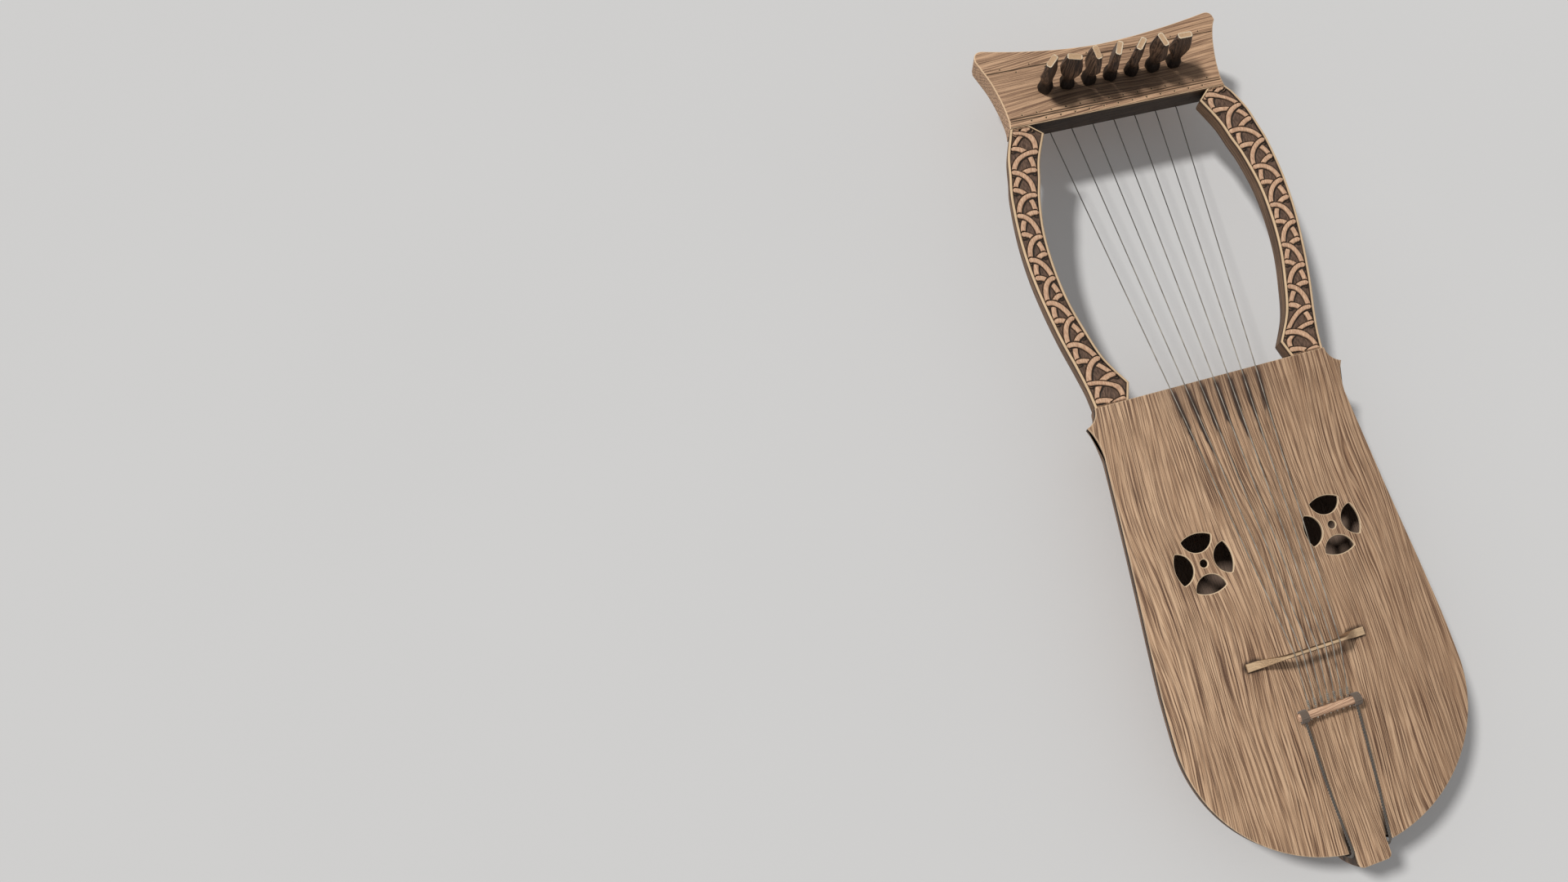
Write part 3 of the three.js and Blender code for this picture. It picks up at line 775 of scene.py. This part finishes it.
def paint_bowl(made):
    p = points_of(made)
    x, y, z = p.T
    facing = np.array([v.normal for v in made.data.vertices])
    from_spine = p[:, :2] - nearest_spine(p, CHAMBER_SPINE_TOP, BOUT_Y)
    across = (facing[:, :2] * from_spine).sum(axis=1)
    inward = across < -0.1 * np.linalg.norm(from_spine, axis=1)
    raw = (inward | (facing[:, 2] > 0.3)) & (z < RIM_Z - 0.5) & (y > CHAMBER_TAIL_Y - 3)
    painted(made, "raw", raw)
    # Painted shade in the crease where the cord runs by the lug, and in a band just below the soundboard's
    # edge.
    crease = np.exp(-((np.abs(x) - 17.0) / 2.2) ** 2) * (y < -358) * (z > LUG_Z - 6)
    rim = 0.9 * smooth((z - RIM_Z + 9) / 6)
    painted(made, "painted_shade", np.clip(np.maximum(crease, rim), 0, 0.9) * (~raw | (z > RIM_Z - 1)))
    # The grain runs from end to end over the form: up the sides with z, and over both ends with y.
    sideways = from_spine[:, 0] ** 2 / np.maximum((from_spine**2).sum(axis=1), 1)
    painted(made, "girth", x + np.sign(x) * z * sideways)
    painted(made, "length", y + np.sign(from_spine[:, 1]) * z * (1 - sideways))


def lug():
    """The fin under the tail tab: a worn, slightly crowned end that leans in towards its foot."""
    end = spline([(TAB_Y, RIM_Z), (TAB_Y, RIM_Z - 18), (TAB_Y + 1.5, RIM_Z - 34), (TAB_Y + 6, LUG_Z)], 14)
    side = np.vstack([end, [(TAIL_Y + 20, LUG_Z), (TAIL_Y + 20, RIM_Z)]])
    rings = []
    for x in np.linspace(-TAB_X, TAB_X, 13):
        crown = 1.6 * (x / TAB_X) ** 4
        ring = side.copy()
        ring[: len(end), 0] += crown
        rings.append(np.column_stack([np.full(len(ring), x), ring]))
    return bevelled(new_object("lug", *loft(rings)), 0.9)


# Soundboard


def petal(turn):
    """A petal of a rosette: the overlap of the rosette's disc and a small disc further out."""
    ring, lens, out = ROSE["ring"], ROSE["lens"], ROSE["out"]
    tip_x = (ring**2 - lens**2 + out**2) / (2 * out)
    tip_y = math.sqrt(ring**2 - tip_x**2)
    outer_turn = math.atan2(tip_y, tip_x)
    inner_turn = math.atan2(tip_y, tip_x - out)
    outer = np.linspace(-outer_turn, outer_turn, 17)
    inner = np.linspace(inner_turn, 2 * math.pi - inner_turn, 25)[1:-1]
    outline = np.vstack([circle(ring, outer), [out, 0] + circle(lens, inner)])
    c, s = math.cos(turn), math.sin(turn)
    return cut_corners(outline) @ np.array([[c, s], [-s, c]])


def soundboard():
    half = half_body(0)
    kept = half[(half[:, 0] > NOTCH_X) | (half[:, 1] > 0)]
    notch = np.array([(NOTCH_X, kept[-1, 1]), (NOTCH_X, NOTCH_Y), (TAB_X, NOTCH_Y)])
    tab = np.array([(TAB_X, TAB_Y + 4), (TAB_X - 1.2, TAB_Y + 1.2), (TAB_X - 4, TAB_Y)])
    loops = [mirrored(np.vstack([kept[:-1], notch, tab]))]
    for side in (-1, 1):
        centre = np.array([side * ROSE["x"], ROSE["y"]])
        loops += [petal(k * math.pi / 2) + centre for k in range(4)]
        loops.append(circle(ROSE["hub"], around(32)) + centre)
    made = plate("soundboard", loops, FRONT_Z - BOARD, FRONT_Z, 1.0)
    finished(made, BOARD_WOOD, "frame", ["soundboard"])


# Arms

# The right arm's edges up its front: inner x and y, outer x and y
ARM_EDGES = np.array([
    [80.5, BODY_TOP_Y - 7, 108.6, BODY_TOP_Y - 7],
    [73, 54.5, 110.6, 54],
    [87.5, 80.5, 114.5, 77],
    [96, 109.5, 120, 104],
    [102.5, 140.5, 125, 138],
    [105, 172.5, 128, 173],
    [104, 204.5, 127.7, 208],
    [98.5, 235.5, 124, 243],
    [93, 253.5, 120, 261],
    [87.5, 272.5, 115.8, 280],
    [76.5, 296, 108.5, 299],
    [87, YOKE_LOW_Y - GAP, 105.7, YOKE_LOW_Y - GAP],
])
ARM_COLUMNS = 56  # of points across the carved part of an arm's front
RIM_WIDE = 2.3  # pale rim along each edge of an arm's front
GROUND_DEEP = 1.3  # the carved ground below the rim
RIBBON_HALF = 2.25
GROOVE = 1.25  # groove beside each ribbon, painted dark as shade, deeper on the side away from the light
GROOVE_SHIFT = 0.55
NODE_STEP = 20.5  # spacing of the crossings along an arm
UNDER_EARLY = 3.5  # the ribbon that passes under starts this much nearer the yoke


def arm_edge_rows(swell):
    """Inner and outer edge points of an arm, one of each for every row, and how far along."""
    edges = ARM_EDGES.copy()
    edges[:, 2] += swell * np.sin(math.pi * np.linspace(0, 1, len(edges)) ** 2)
    share = 1 / (len(edges) - 1)
    foot = (BODY_TOP_Y + GAP - edges[0, 1]) / (edges[1, 1] - edges[0, 1])
    rows = []
    for t in np.linspace(foot, 1, 38)[:-1]:
        pair = lerp(edges[0], edges[1], t)
        rows.append((pair[:2], pair[2:], t * share))
    for t in np.linspace(0, 1, 620):
        along = lerp(share, 1 - share, t)
        inner = spline_at(edges[1:-1, :2], t)
        rows.append((inner, spline_at(edges[:, 2:], along), along))
    for t in np.linspace(0, 1, 26)[1:]:
        pair = lerp(edges[-2], edges[-1], t)
        rows.append((pair[:2], pair[2:], 1 - share + t * share))
    return (np.array(column) for column in zip(*rows))


def arc_run(start, half_at, toward):
    """One interlace arc: it leaves one rim square on, then runs down along the other rim."""
    u = 1 - np.cos(np.linspace(0, math.pi / 2, 30))
    across = toward * (-1 + 2 * np.sqrt(1 - (1 - u) ** 2))
    s = start - u * (NODE_STEP + 2.0)
    return np.column_stack([s, across * half_at(s)])


def distance_to(run, s, w):
    """Distance from every point to a run of points, as far as 8 mm."""
    far = np.full(s.shape, 8.0)
    near = (s > run[:, 0].min() - 8) & (s < run[:, 0].max() + 8)
    points = np.column_stack([s[near], w[near]])
    best = np.full(len(points), 8.0)
    for a, b in zip(run[:-1], run[1:]):
        edge = b - a
        t = np.clip(((points - a) @ edge) / max(edge @ edge, 1e-9), 0, 1)
        best = np.minimum(best, np.linalg.norm(points - a - t[:, None] * edge, axis=1))
    far[near] = best
    return far


def interlace(s, w, wide, side):
    """Height, ribbon mask and painted groove shade of the carving at distances s along and w across."""
    half_line = wide[:, 0] / 2 - RIM_WIDE - RIBBON_HALF - 0.4

    def half_at(at):
        return np.interp(at, s[:, 0], half_line)

    height = np.full(s.shape, -GROUND_DEEP)
    ribbon = np.zeros(s.shape)
    groove_shade = np.zeros(s.shape)
    nodes = np.arange(s.min() + 2, s.max() + NODE_STEP, NODE_STEP)[::-1]
    for k, node in enumerate(nodes):
        over = side if k % 2 else -side
        for start, toward in ((node + UNDER_EARLY, -over), (node, over)):
            run = arc_run(start, half_at, toward)
            d = distance_to(run, s, w)
            shaded = distance_to(run, s + GROOVE_SHIFT, w - side * GROOVE_SHIFT)
            beside = smooth((RIBBON_HALF + GROOVE - np.minimum(d + 0.25, shaded)) / 0.4)
            on = smooth((RIBBON_HALF + 0.2 - d) / 0.4)
            crown = -0.15 - 0.55 * (np.clip(d / RIBBON_HALF, 0, 1)) ** 2.5
            height = lerp(height, -GROUND_DEEP - 0.5, beside)
            height = lerp(height, crown, on)
            ribbon = lerp(lerp(ribbon, 0, beside), 1, on)
            groove_shade = lerp(lerp(groove_shade, 1, beside), 0, on)
    return height, ribbon, groove_shade


def arm_face(w, wide, run, side):
    """Heights of the carved face at each row and column, and its layers of paint, with painted shade in
    the grooves.
    """
    s = np.repeat(run[:, None], w.shape[1], axis=1)
    height, ribbon, groove_shade = interlace(s, w - wide / 2, wide, side)
    edge = np.minimum(w, wide - w)
    ends = np.minimum(s - run[0] + 0.4, run[-1] - s + 0.4)
    edge_or_end = np.minimum(edge, ends + 0.6)
    inside = smooth((edge_or_end - RIM_WIDE) / 0.45)
    rim_height = -0.9 * (1 - np.clip(edge / 0.9, 0, 1)) ** 2
    ribbon = ribbon * inside
    border = smooth((edge_or_end - RIM_WIDE + 0.1) / 0.4)
    border = border * smooth((RIM_WIDE + 1.1 - edge_or_end) / 0.5)
    # The grooves beside the ribbons and the line just inside each rim are painted dark as shade.
    groove_shade = np.maximum(groove_shade * inside, border * (1 - ribbon))
    return lerp(rim_height, height, inside), {
        "ribbon": ribbon,
        "painted_shade": groove_shade,
        "ground": inside * (1 - ribbon) * (1 - groove_shade),
        "wear_and_highlight": smooth((RIM_WIDE - edge) / 0.3) * (1 - inside) * (edge > 0.1),
    }


def arm_back(wide, along):
    """Places across and heights of an arm's back: a square side, then a full round."""
    deep = lerp(ARM_THICK[0], ARM_THICK[1], along) - ARM_SIDE
    turn = np.linspace(0, math.pi, 23)
    cos, sin = np.cos(turn), np.sin(turn)
    across = 0.5 + 0.5 * np.sign(cos) * np.abs(cos) ** (2 / ARM_FULLNESS)
    return across * wide, -ARM_SIDE - deep[:, None] * np.abs(sin) ** (2 / ARM_FULLNESS)


def arm(side):
    inner, outer, along = arm_edge_rows(ARM_SWELL[side])
    wide = np.linalg.norm(outer - inner, axis=1)[:, None]
    run = lengths_along((inner + outer) / 2)
    rim = np.array([0.0, 0.35, 0.9, 1.6, RIM_WIDE - 0.25, RIM_WIDE + 0.15, RIM_WIDE + 0.6])
    share = np.linspace(0, 1, ARM_COLUMNS + 2)[1:-1]
    w = np.column_stack([
        np.tile(rim, (len(run), 1)),
        rim[-1] + share * (wide - 2 * rim[-1]),
        wide - rim[::-1],
    ])
    height, paint = arm_face(w, wide, run, side)
    back_w, back_z = arm_back(wide, along)
    ring_w = np.concatenate([w, back_w], axis=1)
    ring_z = np.concatenate([height, back_z], axis=1)
    direction = (outer - inner) / wide
    flat = inner[:, None, :] + ring_w[:, :, None] * direction[:, None, :]
    rings = np.concatenate([flat, (ARM_Z + ring_z)[:, :, None]], axis=2)
    rings[:, :, 0] *= side
    name = "arm_right" if side > 0 else "arm_left"
    made = new_object(name + "_carved", *loft(rings))
    finished(made, ARM_WOOD, "frame", [name], sharp=40)
    painted(made, "girth", (ring_w - ring_z * (2 * ring_w / wide - 1)).ravel())
    painted(made, "length", np.repeat(run, ring_w.shape[1]))
    for layer, values in paint.items():
        painted(made, layer, np.concatenate([values, np.zeros(back_w.shape)], axis=1).ravel())


# Yoke


def yoke_side(start):
    """The right end of the yoke, from below its tip down to the arm."""
    ends = [start, (114.6, 367.5), (110.3, 355), (107.2, 341), (105.2, 327), (104.6, 314)]
    return spline(ends + [(105.7, YOKE_LOW_Y)], 50)


def half_yoke(drop):
    """Right half of the yoke's outline, with its tip lowered by drop."""
    x, y, rounding = YOKE_CORNER
    y -= drop
    turn = (x - rounding - 1, y - 1)
    start = (x, y - rounding - 2)
    return joined(
        bezier((2, YOKE_TOP_Y), (52, YOKE_TOP_Y + 1), turn, 40),
        bezier(turn, (x, y), start, 12),
        yoke_side(start),
    )


def groove_cutter(y, reach, half, deep):
    """A long V-shaped cutter across the yoke."""
    corners = np.array([(-reach, -1), (reach, -1), (reach, 1), (-reach, 1)])
    foot = [0, y] + corners * [1, 0.02]
    top = [0, y] + corners * [1, half * 2]
    return loft([level(foot, ARM_Z - deep), level(top, ARM_Z + deep)])


def notch_cutter(x, y, size, up):
    """A small triangular cutter that narrows downwards. It points up or down the yoke."""
    base_y = y - up * size * 0.6
    ring = np.array([(x - size, base_y), (x + size, base_y), (x, y + up * size)])
    if up < 0:
        ring = ring[::-1]
    centre = ring.mean(axis=0)
    foot = centre + (ring - centre) * 0.15
    return loft([level(foot, ARM_Z - 0.9), level(ring, ARM_Z + 0.2)])


def yoke_cutters():
    """Three long lines, and rows of small triangles beside them."""
    cuts = [groove_cutter(y, reach, 0.45, 0.7) for y, reach in YOKE_LINES]
    rows = [(91, 7.0, (317.2, 1.9), (310.2, 2.0)), (98, 14.0, (364.8, 1.7), (359.2, 1.7))]
    for reach, step, upper, lower in rows:
        for x in np.arange(-reach, reach + 1, 2 * step):
            cuts.append(notch_cutter(x, *upper, 1))
            if x + step < reach:
                cuts.append(notch_cutter(x + step, *lower, -1))
    return cuts


def yoke():
    loops = [np.concatenate([half_yoke(YOKE_DROP), half_yoke(0)[::-1] * [-1, 1]])]
    holes = [np.array([x, PEG_Y]) for x in fan_places(PEG_PITCH)]
    loops += [hole + circle(PEG_HOLE, around(32)) for hole in holes]
    made = plate("yoke", loops, YOKE_BACK_Z, ARM_Z, 1.3)
    for points, faces in yoke_cutters():
        boolean(made, new_object("cut", points, faces), "DIFFERENCE")
    finished(made, YOKE_WOOD, "frame", ["yoke"])
    # Only points inside the face's outline and clear of the peg holes lie in an incision.
    p = points_of(made)
    x, y, z = p.T
    tip_x, tip_y, rounding = YOKE_CORNER
    side = yoke_side((tip_x, tip_y - rounding - 2))[::-1]
    on_face = (np.abs(x) < np.interp(y, side[:, 1], side[:, 0]) - 1.7) & (y > 308) & (y < 367)
    sunk = (z < ARM_Z - 0.1) & (z > ARM_Z - 1.5)
    clear = np.min([np.linalg.norm(p[:, :2] - hole, axis=1) for hole in holes], axis=0) > 8
    painted(made, "incised", 1.4 * (on_face & sunk & clear))


# Pegs


def peg_slice(wide, thick, z):
    """One eight-cornered ring of a peg's head, from its half width and half thickness."""
    cut = min(wide, thick) * 0.45
    corner = [(wide, thick - cut), (wide - cut, thick)]
    signs = ((1, 1), (-1, 1), (-1, -1), (1, -1))
    return [(sx * x, sy * y, z) for sx, sy in signs for x, y in corner[:: sx * sy]]


# Half width, half thickness and height above the yoke's front
PEG_HEAD_SLICES = [
    (4.0, 4.0, -1.0),
    (6.2, 6.0, GAP),
    (6.6, 6.4, 2.0),
    (6.5, 6.3, 5.0),
    (5.7, 5.1, 9.0),
    (5.2, 4.3, 12.5),
    (5.6, 4.2, 15.5),
    (8.2, 4.4, 20.5),
    (9.8, 4.3, 25.0),
    (9.9, 4.1, 28.0),
    (9.2, 3.7, 34.0),
    (6.9, 2.8, PEG_HEAD),
    (5.5, 1.5, PEG_HEAD - 0.12),
]


def peg_head(i):
    """The carved head, a little different on each peg."""
    random = np.random.default_rng(40 + i)
    slices = []
    for wide, thick, z in PEG_HEAD_SLICES:
        ring = np.array(peg_slice(wide * (0.97 + 0.03 * random.random()), thick, z))
        if 0 < z < PEG_HEAD:
            ring[:, :2] += random.normal(0, 0.14, (len(ring), 2))
            ring[:, 2] += random.normal(0, 0.3, len(ring))
        slices.append(ring)
    return bevelled(new_object(f"peg_{i + 1}_turned", *loft(slices)), 0.4, angle=18)


def peg_shank():
    """The shank, and the eight-sided knob behind the yoke with a small hollow in its end."""
    turn = around(24)
    eight = np.floor((turn / (2 * math.pi)) * 8 + 0.5) * math.pi / 4
    faceted = lerp(turn, eight, 0.8)
    back = -YOKE_THICK
    tip = back - PEG_TAIL
    wide, narrow = PEG_KNOB
    rings = [
        (PEG_SHANK, turn, 1.5), (PEG_SHANK, turn, back - 6.3), (wide, faceted, back - 6.8),
        (wide - 0.05, faceted, back - 8.0), (narrow, faceted, tip + 0.7),
        (narrow - 0.6, faceted, tip), (2.3, turn, tip), (1.9, turn, tip + 0.8),
    ]
    return new_object("shank", *loft([level(circle(r, at), z) for r, at, z in rings]))


def peg(i):
    made = peg_head(i)
    boolean(made, peg_shank(), "UNION")
    x, y, z = points_of(made).T
    end_wide, end_thick, _ = PEG_HEAD_SLICES[-2]
    border = np.maximum(np.abs(x) / end_wide, np.abs(y) / end_thick) > 0.87
    painted(made, "border", border * (z > PEG_HEAD - 0.6))
    spin = Matrix.Rotation(math.radians(PEG_TURNS[i]), 4, "Z")
    shift = Matrix.Translation(Vector((fan_places(PEG_PITCH)[i], PEG_Y, ARM_Z)) * MM)
    made.data.transform(shift @ spin)
    finished(made, PEG_WOOD, f"tuner_{i + 1}", [f"peg_{i + 1}"], sharp=20)


def winding(i):
    """A string's turns round its peg, behind the yoke."""
    turns = 4
    t = np.linspace(0, 1, turns * 28)
    angle = -math.pi / 2 + t * turns * 2 * math.pi
    radius = PEG_SHANK + STRING_RADIUS + 0.32
    z = YOKE_BACK_Z - 2.5 - t * 3.2
    path = np.column_stack([[fan_places(PEG_PITCH)[i], PEG_Y] + circle(radius, angle), z])
    made = new_object(f"string_turns_{i + 1}", *tube(path, STRING_RADIUS, 10))
    finished(made, GUT, f"tuner_{i + 1}", [f"string_winding_{i + 1}"], sharp=60)


# Bridge, tailpiece bar, strings and cord

NOTCH_DEEP = 0.45  # of the strings' notches in the bridge


def bridge():
    """An arch on two feet, narrow at its notched crest."""
    half, foot, crest, crest_half = (BRIDGE[k] for k in ("half", "foot", "crest", "crest_half"))
    notches = fan_places(FAN["bridge"])
    rings = []
    for x in np.linspace(-half, half, 150):
        rise = smooth((half - 6 - abs(x)) / (half - 6 - crest_half))
        arch = smooth((half - 11 - abs(x)) / (half - 11 - crest_half + 8))
        top = foot + (crest - foot) * rise
        low = (crest - 6) * arch
        top -= NOTCH_DEEP * max(math.exp(-(((x - n) / 0.75) ** 2)) for n in notches)
        top_half = lerp(3.5, 1.1, rise)
        low_half = lerp(3.5, 2.0, rise)
        middle = (top + low) / 2
        waist = lerp(3.3, 1.5, rise)
        face = [(low_half - 0.3, low), (low_half, low + 0.3), (waist, middle)]
        face += [(top_half, top - 0.35), (top_half - 0.3, top)]
        section = np.roll(mirrored(np.array(face)), 1, axis=0)
        rings.append([(x, BRIDGE["y"] + across, FRONT_Z + GAP + z) for across, z in section])
    made = new_object("bridge_carved", *loft(rings))
    finished(made, BRIDGE_WOOD, "frame", ["bridge"])
    z = points_of(made)[:, 2]
    up = np.array([v.normal.z for v in made.data.vertices])
    upper = smooth((z - FRONT_Z - crest / 2) / 8)
    bridge_foot_shade = smooth((FRONT_Z + GAP + 1.2 - z) / 1.2)
    # Painted highlight: the upward faces are made paler.
    painted(made, "wear_and_highlight", np.clip(up, 0, 1) * 0.8)
    # Painted shade at the feet where they meet the board, and on the crest's sides.
    painted(made, "painted_shade", 0.8 * np.maximum(bridge_foot_shade, upper * smooth((0.5 - up) / 0.3)))


def tailpiece_bar():
    """A small round stick with blunt ends and slightly faceted sides."""
    reach = BAR["half"]
    profile = [(-reach, 1.6), (-reach + 0.25, 2.6), (-reach + 1.0, 3.2), (-reach + 2.2, 3.45)]
    profile += [(x, 3.42 + 0.05 * math.sin(x * 0.9)) for x in np.linspace(-24, 24, 25)]
    profile += [(-x, r) for x, r in profile[:4][::-1]]
    turn = around(24)
    rings = []
    for x, r in profile:
        faceted = (r * (1 - 0.018 * np.cos(8 * turn)))[:, None]
        section = [BAR["y"], BAR["z"]] + circle(faceted, turn)
        rings.append(np.column_stack([np.full(len(turn), x), section]))
    made = new_object("tail_bar", *loft(rings))
    finished(made, BAR_WOOD, "frame", ["tailpiece_bar"])


def string(i):
    """One string: round the bar, over the bridge and under the yoke to its peg."""
    bar_x, bridge_x, yoke_x = (fan_places(FAN[k])[i] for k in ("bar", "bridge", "yoke"))
    lift = STRING_RADIUS + 0.12
    loop = BAR["radius"] + lift
    angle = np.linspace(-1.15 * math.pi, 0.12 * math.pi, 34)
    wrap = np.column_stack([
        bar_x - 1.1 + np.linspace(0, 1.1, len(angle)),
        [BAR["y"], BAR["z"]] + circle(loop, angle),
    ])
    crest = FRONT_Z + GAP + BRIDGE["crest"] - NOTCH_DEEP + lift
    over = np.array([
        [bridge_x, BRIDGE["y"] - 0.9, crest - 0.12],
        [bridge_x, BRIDGE["y"], crest],
        [bridge_x, BRIDGE["y"] + 0.9, crest - 0.12],
    ])
    low = YOKE_BACK_Z - STRING_RADIUS - 0.25
    under = np.array([
        [yoke_x, YOKE_LOW_Y - 2.0, low + 0.2],
        [yoke_x, YOKE_LOW_Y + 1.0, low - 0.1],
        [yoke_x, PEG_Y - PEG_SHANK - STRING_RADIUS - 0.4, YOKE_BACK_Z - 2.5],
    ])
    path = np.vstack([wrap, over, under])
    gut = merged(tube(path, STRING_RADIUS, 10), string_knot(wrap[-1], over[0]))
    made = new_object(f"string_{i + 1}_gut", *gut)
    finished(made, GUT, "frame", [f"string_{i + 1}"], sharp=60)


def string_knot(start, end):
    """The string's loose end, wound round its own start above the bar."""
    along = np.linspace(0, 1, 60)
    centre = start + (end - start) * (0.05 + 0.13 * along)[:, None]
    x, z = circle(0.95, along * 9 * math.pi).T
    spiral = np.column_stack([x, np.zeros(len(x)), z])
    return tube(centre + spiral, 0.42)


def tail_wall_y(z):
    """Where the bowl's tail end stands at height z."""
    return TAIL_Y + float(turn_in(RIM_Z - z, RIM_Z, 0.0))


def cord_route():
    """The cord's middle line, from knot to knot by the notches and under the lug."""
    lift = CORD_RADIUS + GAP
    crease = TAB_X + lift + 0.4
    under = LUG_Z - lift - 0.3
    under_y = tail_wall_y(under) - lift - 0.2
    half = [
        (KNOT_X - 0.4, BAR["y"] - BAR["radius"] - 1, BAR["z"] - 0.5),
        (21.2, -320, FRONT_Z + 6),
        (17.6, -366, FRONT_Z + 2.2),
        (crease, -372.5, FRONT_Z - 0.4),
    ]
    half += [(crease, tail_wall_y(z) - lift - 0.4, z) for z in (74, 60, 46, 34, 28)]
    half += [(crease - 0.6, tail_wall_y(26) - lift - 0.2, 26), (13.5, under_y, under)]
    half = np.array(half, float)
    return np.vstack([half * [-1, 1, 1], [(0, under_y, under)], half[::-1]])


def twisted(path, strands, radius, thread, pitch):
    """Strands that wind round a path, as the points and faces of one mesh."""
    runs = [[] for _ in range(strands)]
    frames = frames_along(path, (0.2, 0.3, 0.93))
    for p, (side, up), length in zip(path, frames, lengths_along(path)):
        for k, run in enumerate(runs):
            turn = 2 * math.pi * (length / pitch + k / strands)
            run.append(p + radius * (math.cos(turn) * side + math.sin(turn) * up))
    return merged(*(tube(run, thread) for run in runs))


def knot(side):
    """The cord's knob at one end of the bar: turns round the bar, and a strap over them."""
    t = np.linspace(0, 1, 190)
    radius = BAR["radius"] + 0.95 + 0.25 * np.sin(t * math.pi)
    turns = [BAR["y"], BAR["z"]] - circle(radius[:, None], t * 5 * 2 * math.pi)
    wrap = np.column_stack([side * (KNOT_X - 3.3 + 6.6 * t), turns])
    across = np.linspace(-1, 1, 30)
    strap = np.column_stack([
        side * (KNOT_X + 3.0 * across),
        np.full(len(across), BAR["y"] - 1.2),
        BAR["z"] + BAR["radius"] + 1.95 - 0.9 * across**2,
    ])
    return tube(wrap, 0.85), tube(strap, 0.75)


def tail_cord():
    route = cord_route()
    fine = spline(route, (len(route) - 1) * 40)
    length = lengths_along(fine)[-1]
    path = sampled(fine, np.linspace(0, length, int(length / 0.55)))
    rope = twisted(path, strands=2, radius=0.62, thread=0.66, pitch=5.2)
    made = new_object("tail_cord_twisted", *merged(rope, *knot(-1), *knot(1)))
    finished(made, CORD, "frame", ["tail_cord"], sharp=60)


# Studio


def camera():
    lens = bpy.data.cameras.new("camera")
    lens.lens = 26.25
    lens.sensor_width = 36
    lens.shift_x = -0.1771
    lens.clip_start = 0.01
    across = Vector((0.9425, -0.2937, 0.1595))
    down = Vector((-0.2561, -0.9412, -0.2202))
    ahead = Vector((0.2149, 0.1667, -0.9623))
    turned = Matrix((across, -down, -ahead)).transposed().to_4x4()
    made = in_scene("camera", lens)
    made.matrix_world = Matrix.Translation(Vector((-354.2, -141.8, 1011.1)) * MM) @ turned
    bpy.context.scene.camera = made


def floor():
    mesh = bpy.data.meshes.new("floor")
    reach = 60.0
    corners = [(-reach, -reach, 0), (reach, -reach, 0), (reach, reach, 0), (-reach, reach, 0)]
    mesh.from_pydata(corners, [], [(0, 1, 2, 3)])
    made = in_scene("floor", mesh)
    made.location.z = -0.0002
    g = Graph("pale floor")
    x, y, _ = g.place()
    tone = g.noise((x, y, 0.0), (0.004, 0.004, 0.0))
    g.surface(g.mix(tone, (221.93796,) * 3, (224.61038,) * 3), 0.9, 0.1)
    mesh.materials.append(g.material)


def studio():
    """Even pale light all round, and one soft distant lamp."""
    world = bpy.data.worlds.new("studio")
    world.use_nodes = True
    sky = world.node_tree.nodes["Background"]
    sky.inputs["Color"].default_value = (1, 1, 1, 1)
    sky.inputs["Strength"].default_value = 0.34
    bpy.context.scene.world = world
    lamp = bpy.data.lights.new("key", "SUN")
    lamp.energy = 1.92
    lamp.angle = math.radians(7)
    lamp.color = (1.0, 0.985, 0.965)
    made = in_scene("key", lamp)
    towards = Vector((-0.427, 0.356, 0.832))
    made.location = towards * 2
    made.rotation_euler = towards.to_track_quat("Z", "Y").to_euler()
    bpy.context.scene.view_settings.view_transform = "Standard"


bowl()
soundboard()
arm(1)
arm(-1)
yoke()
for number in range(STRINGS):
    peg(number)
    winding(number)
    string(number)
bridge()
tailpiece_bar()
tail_cord()
camera()
floor()
studio()
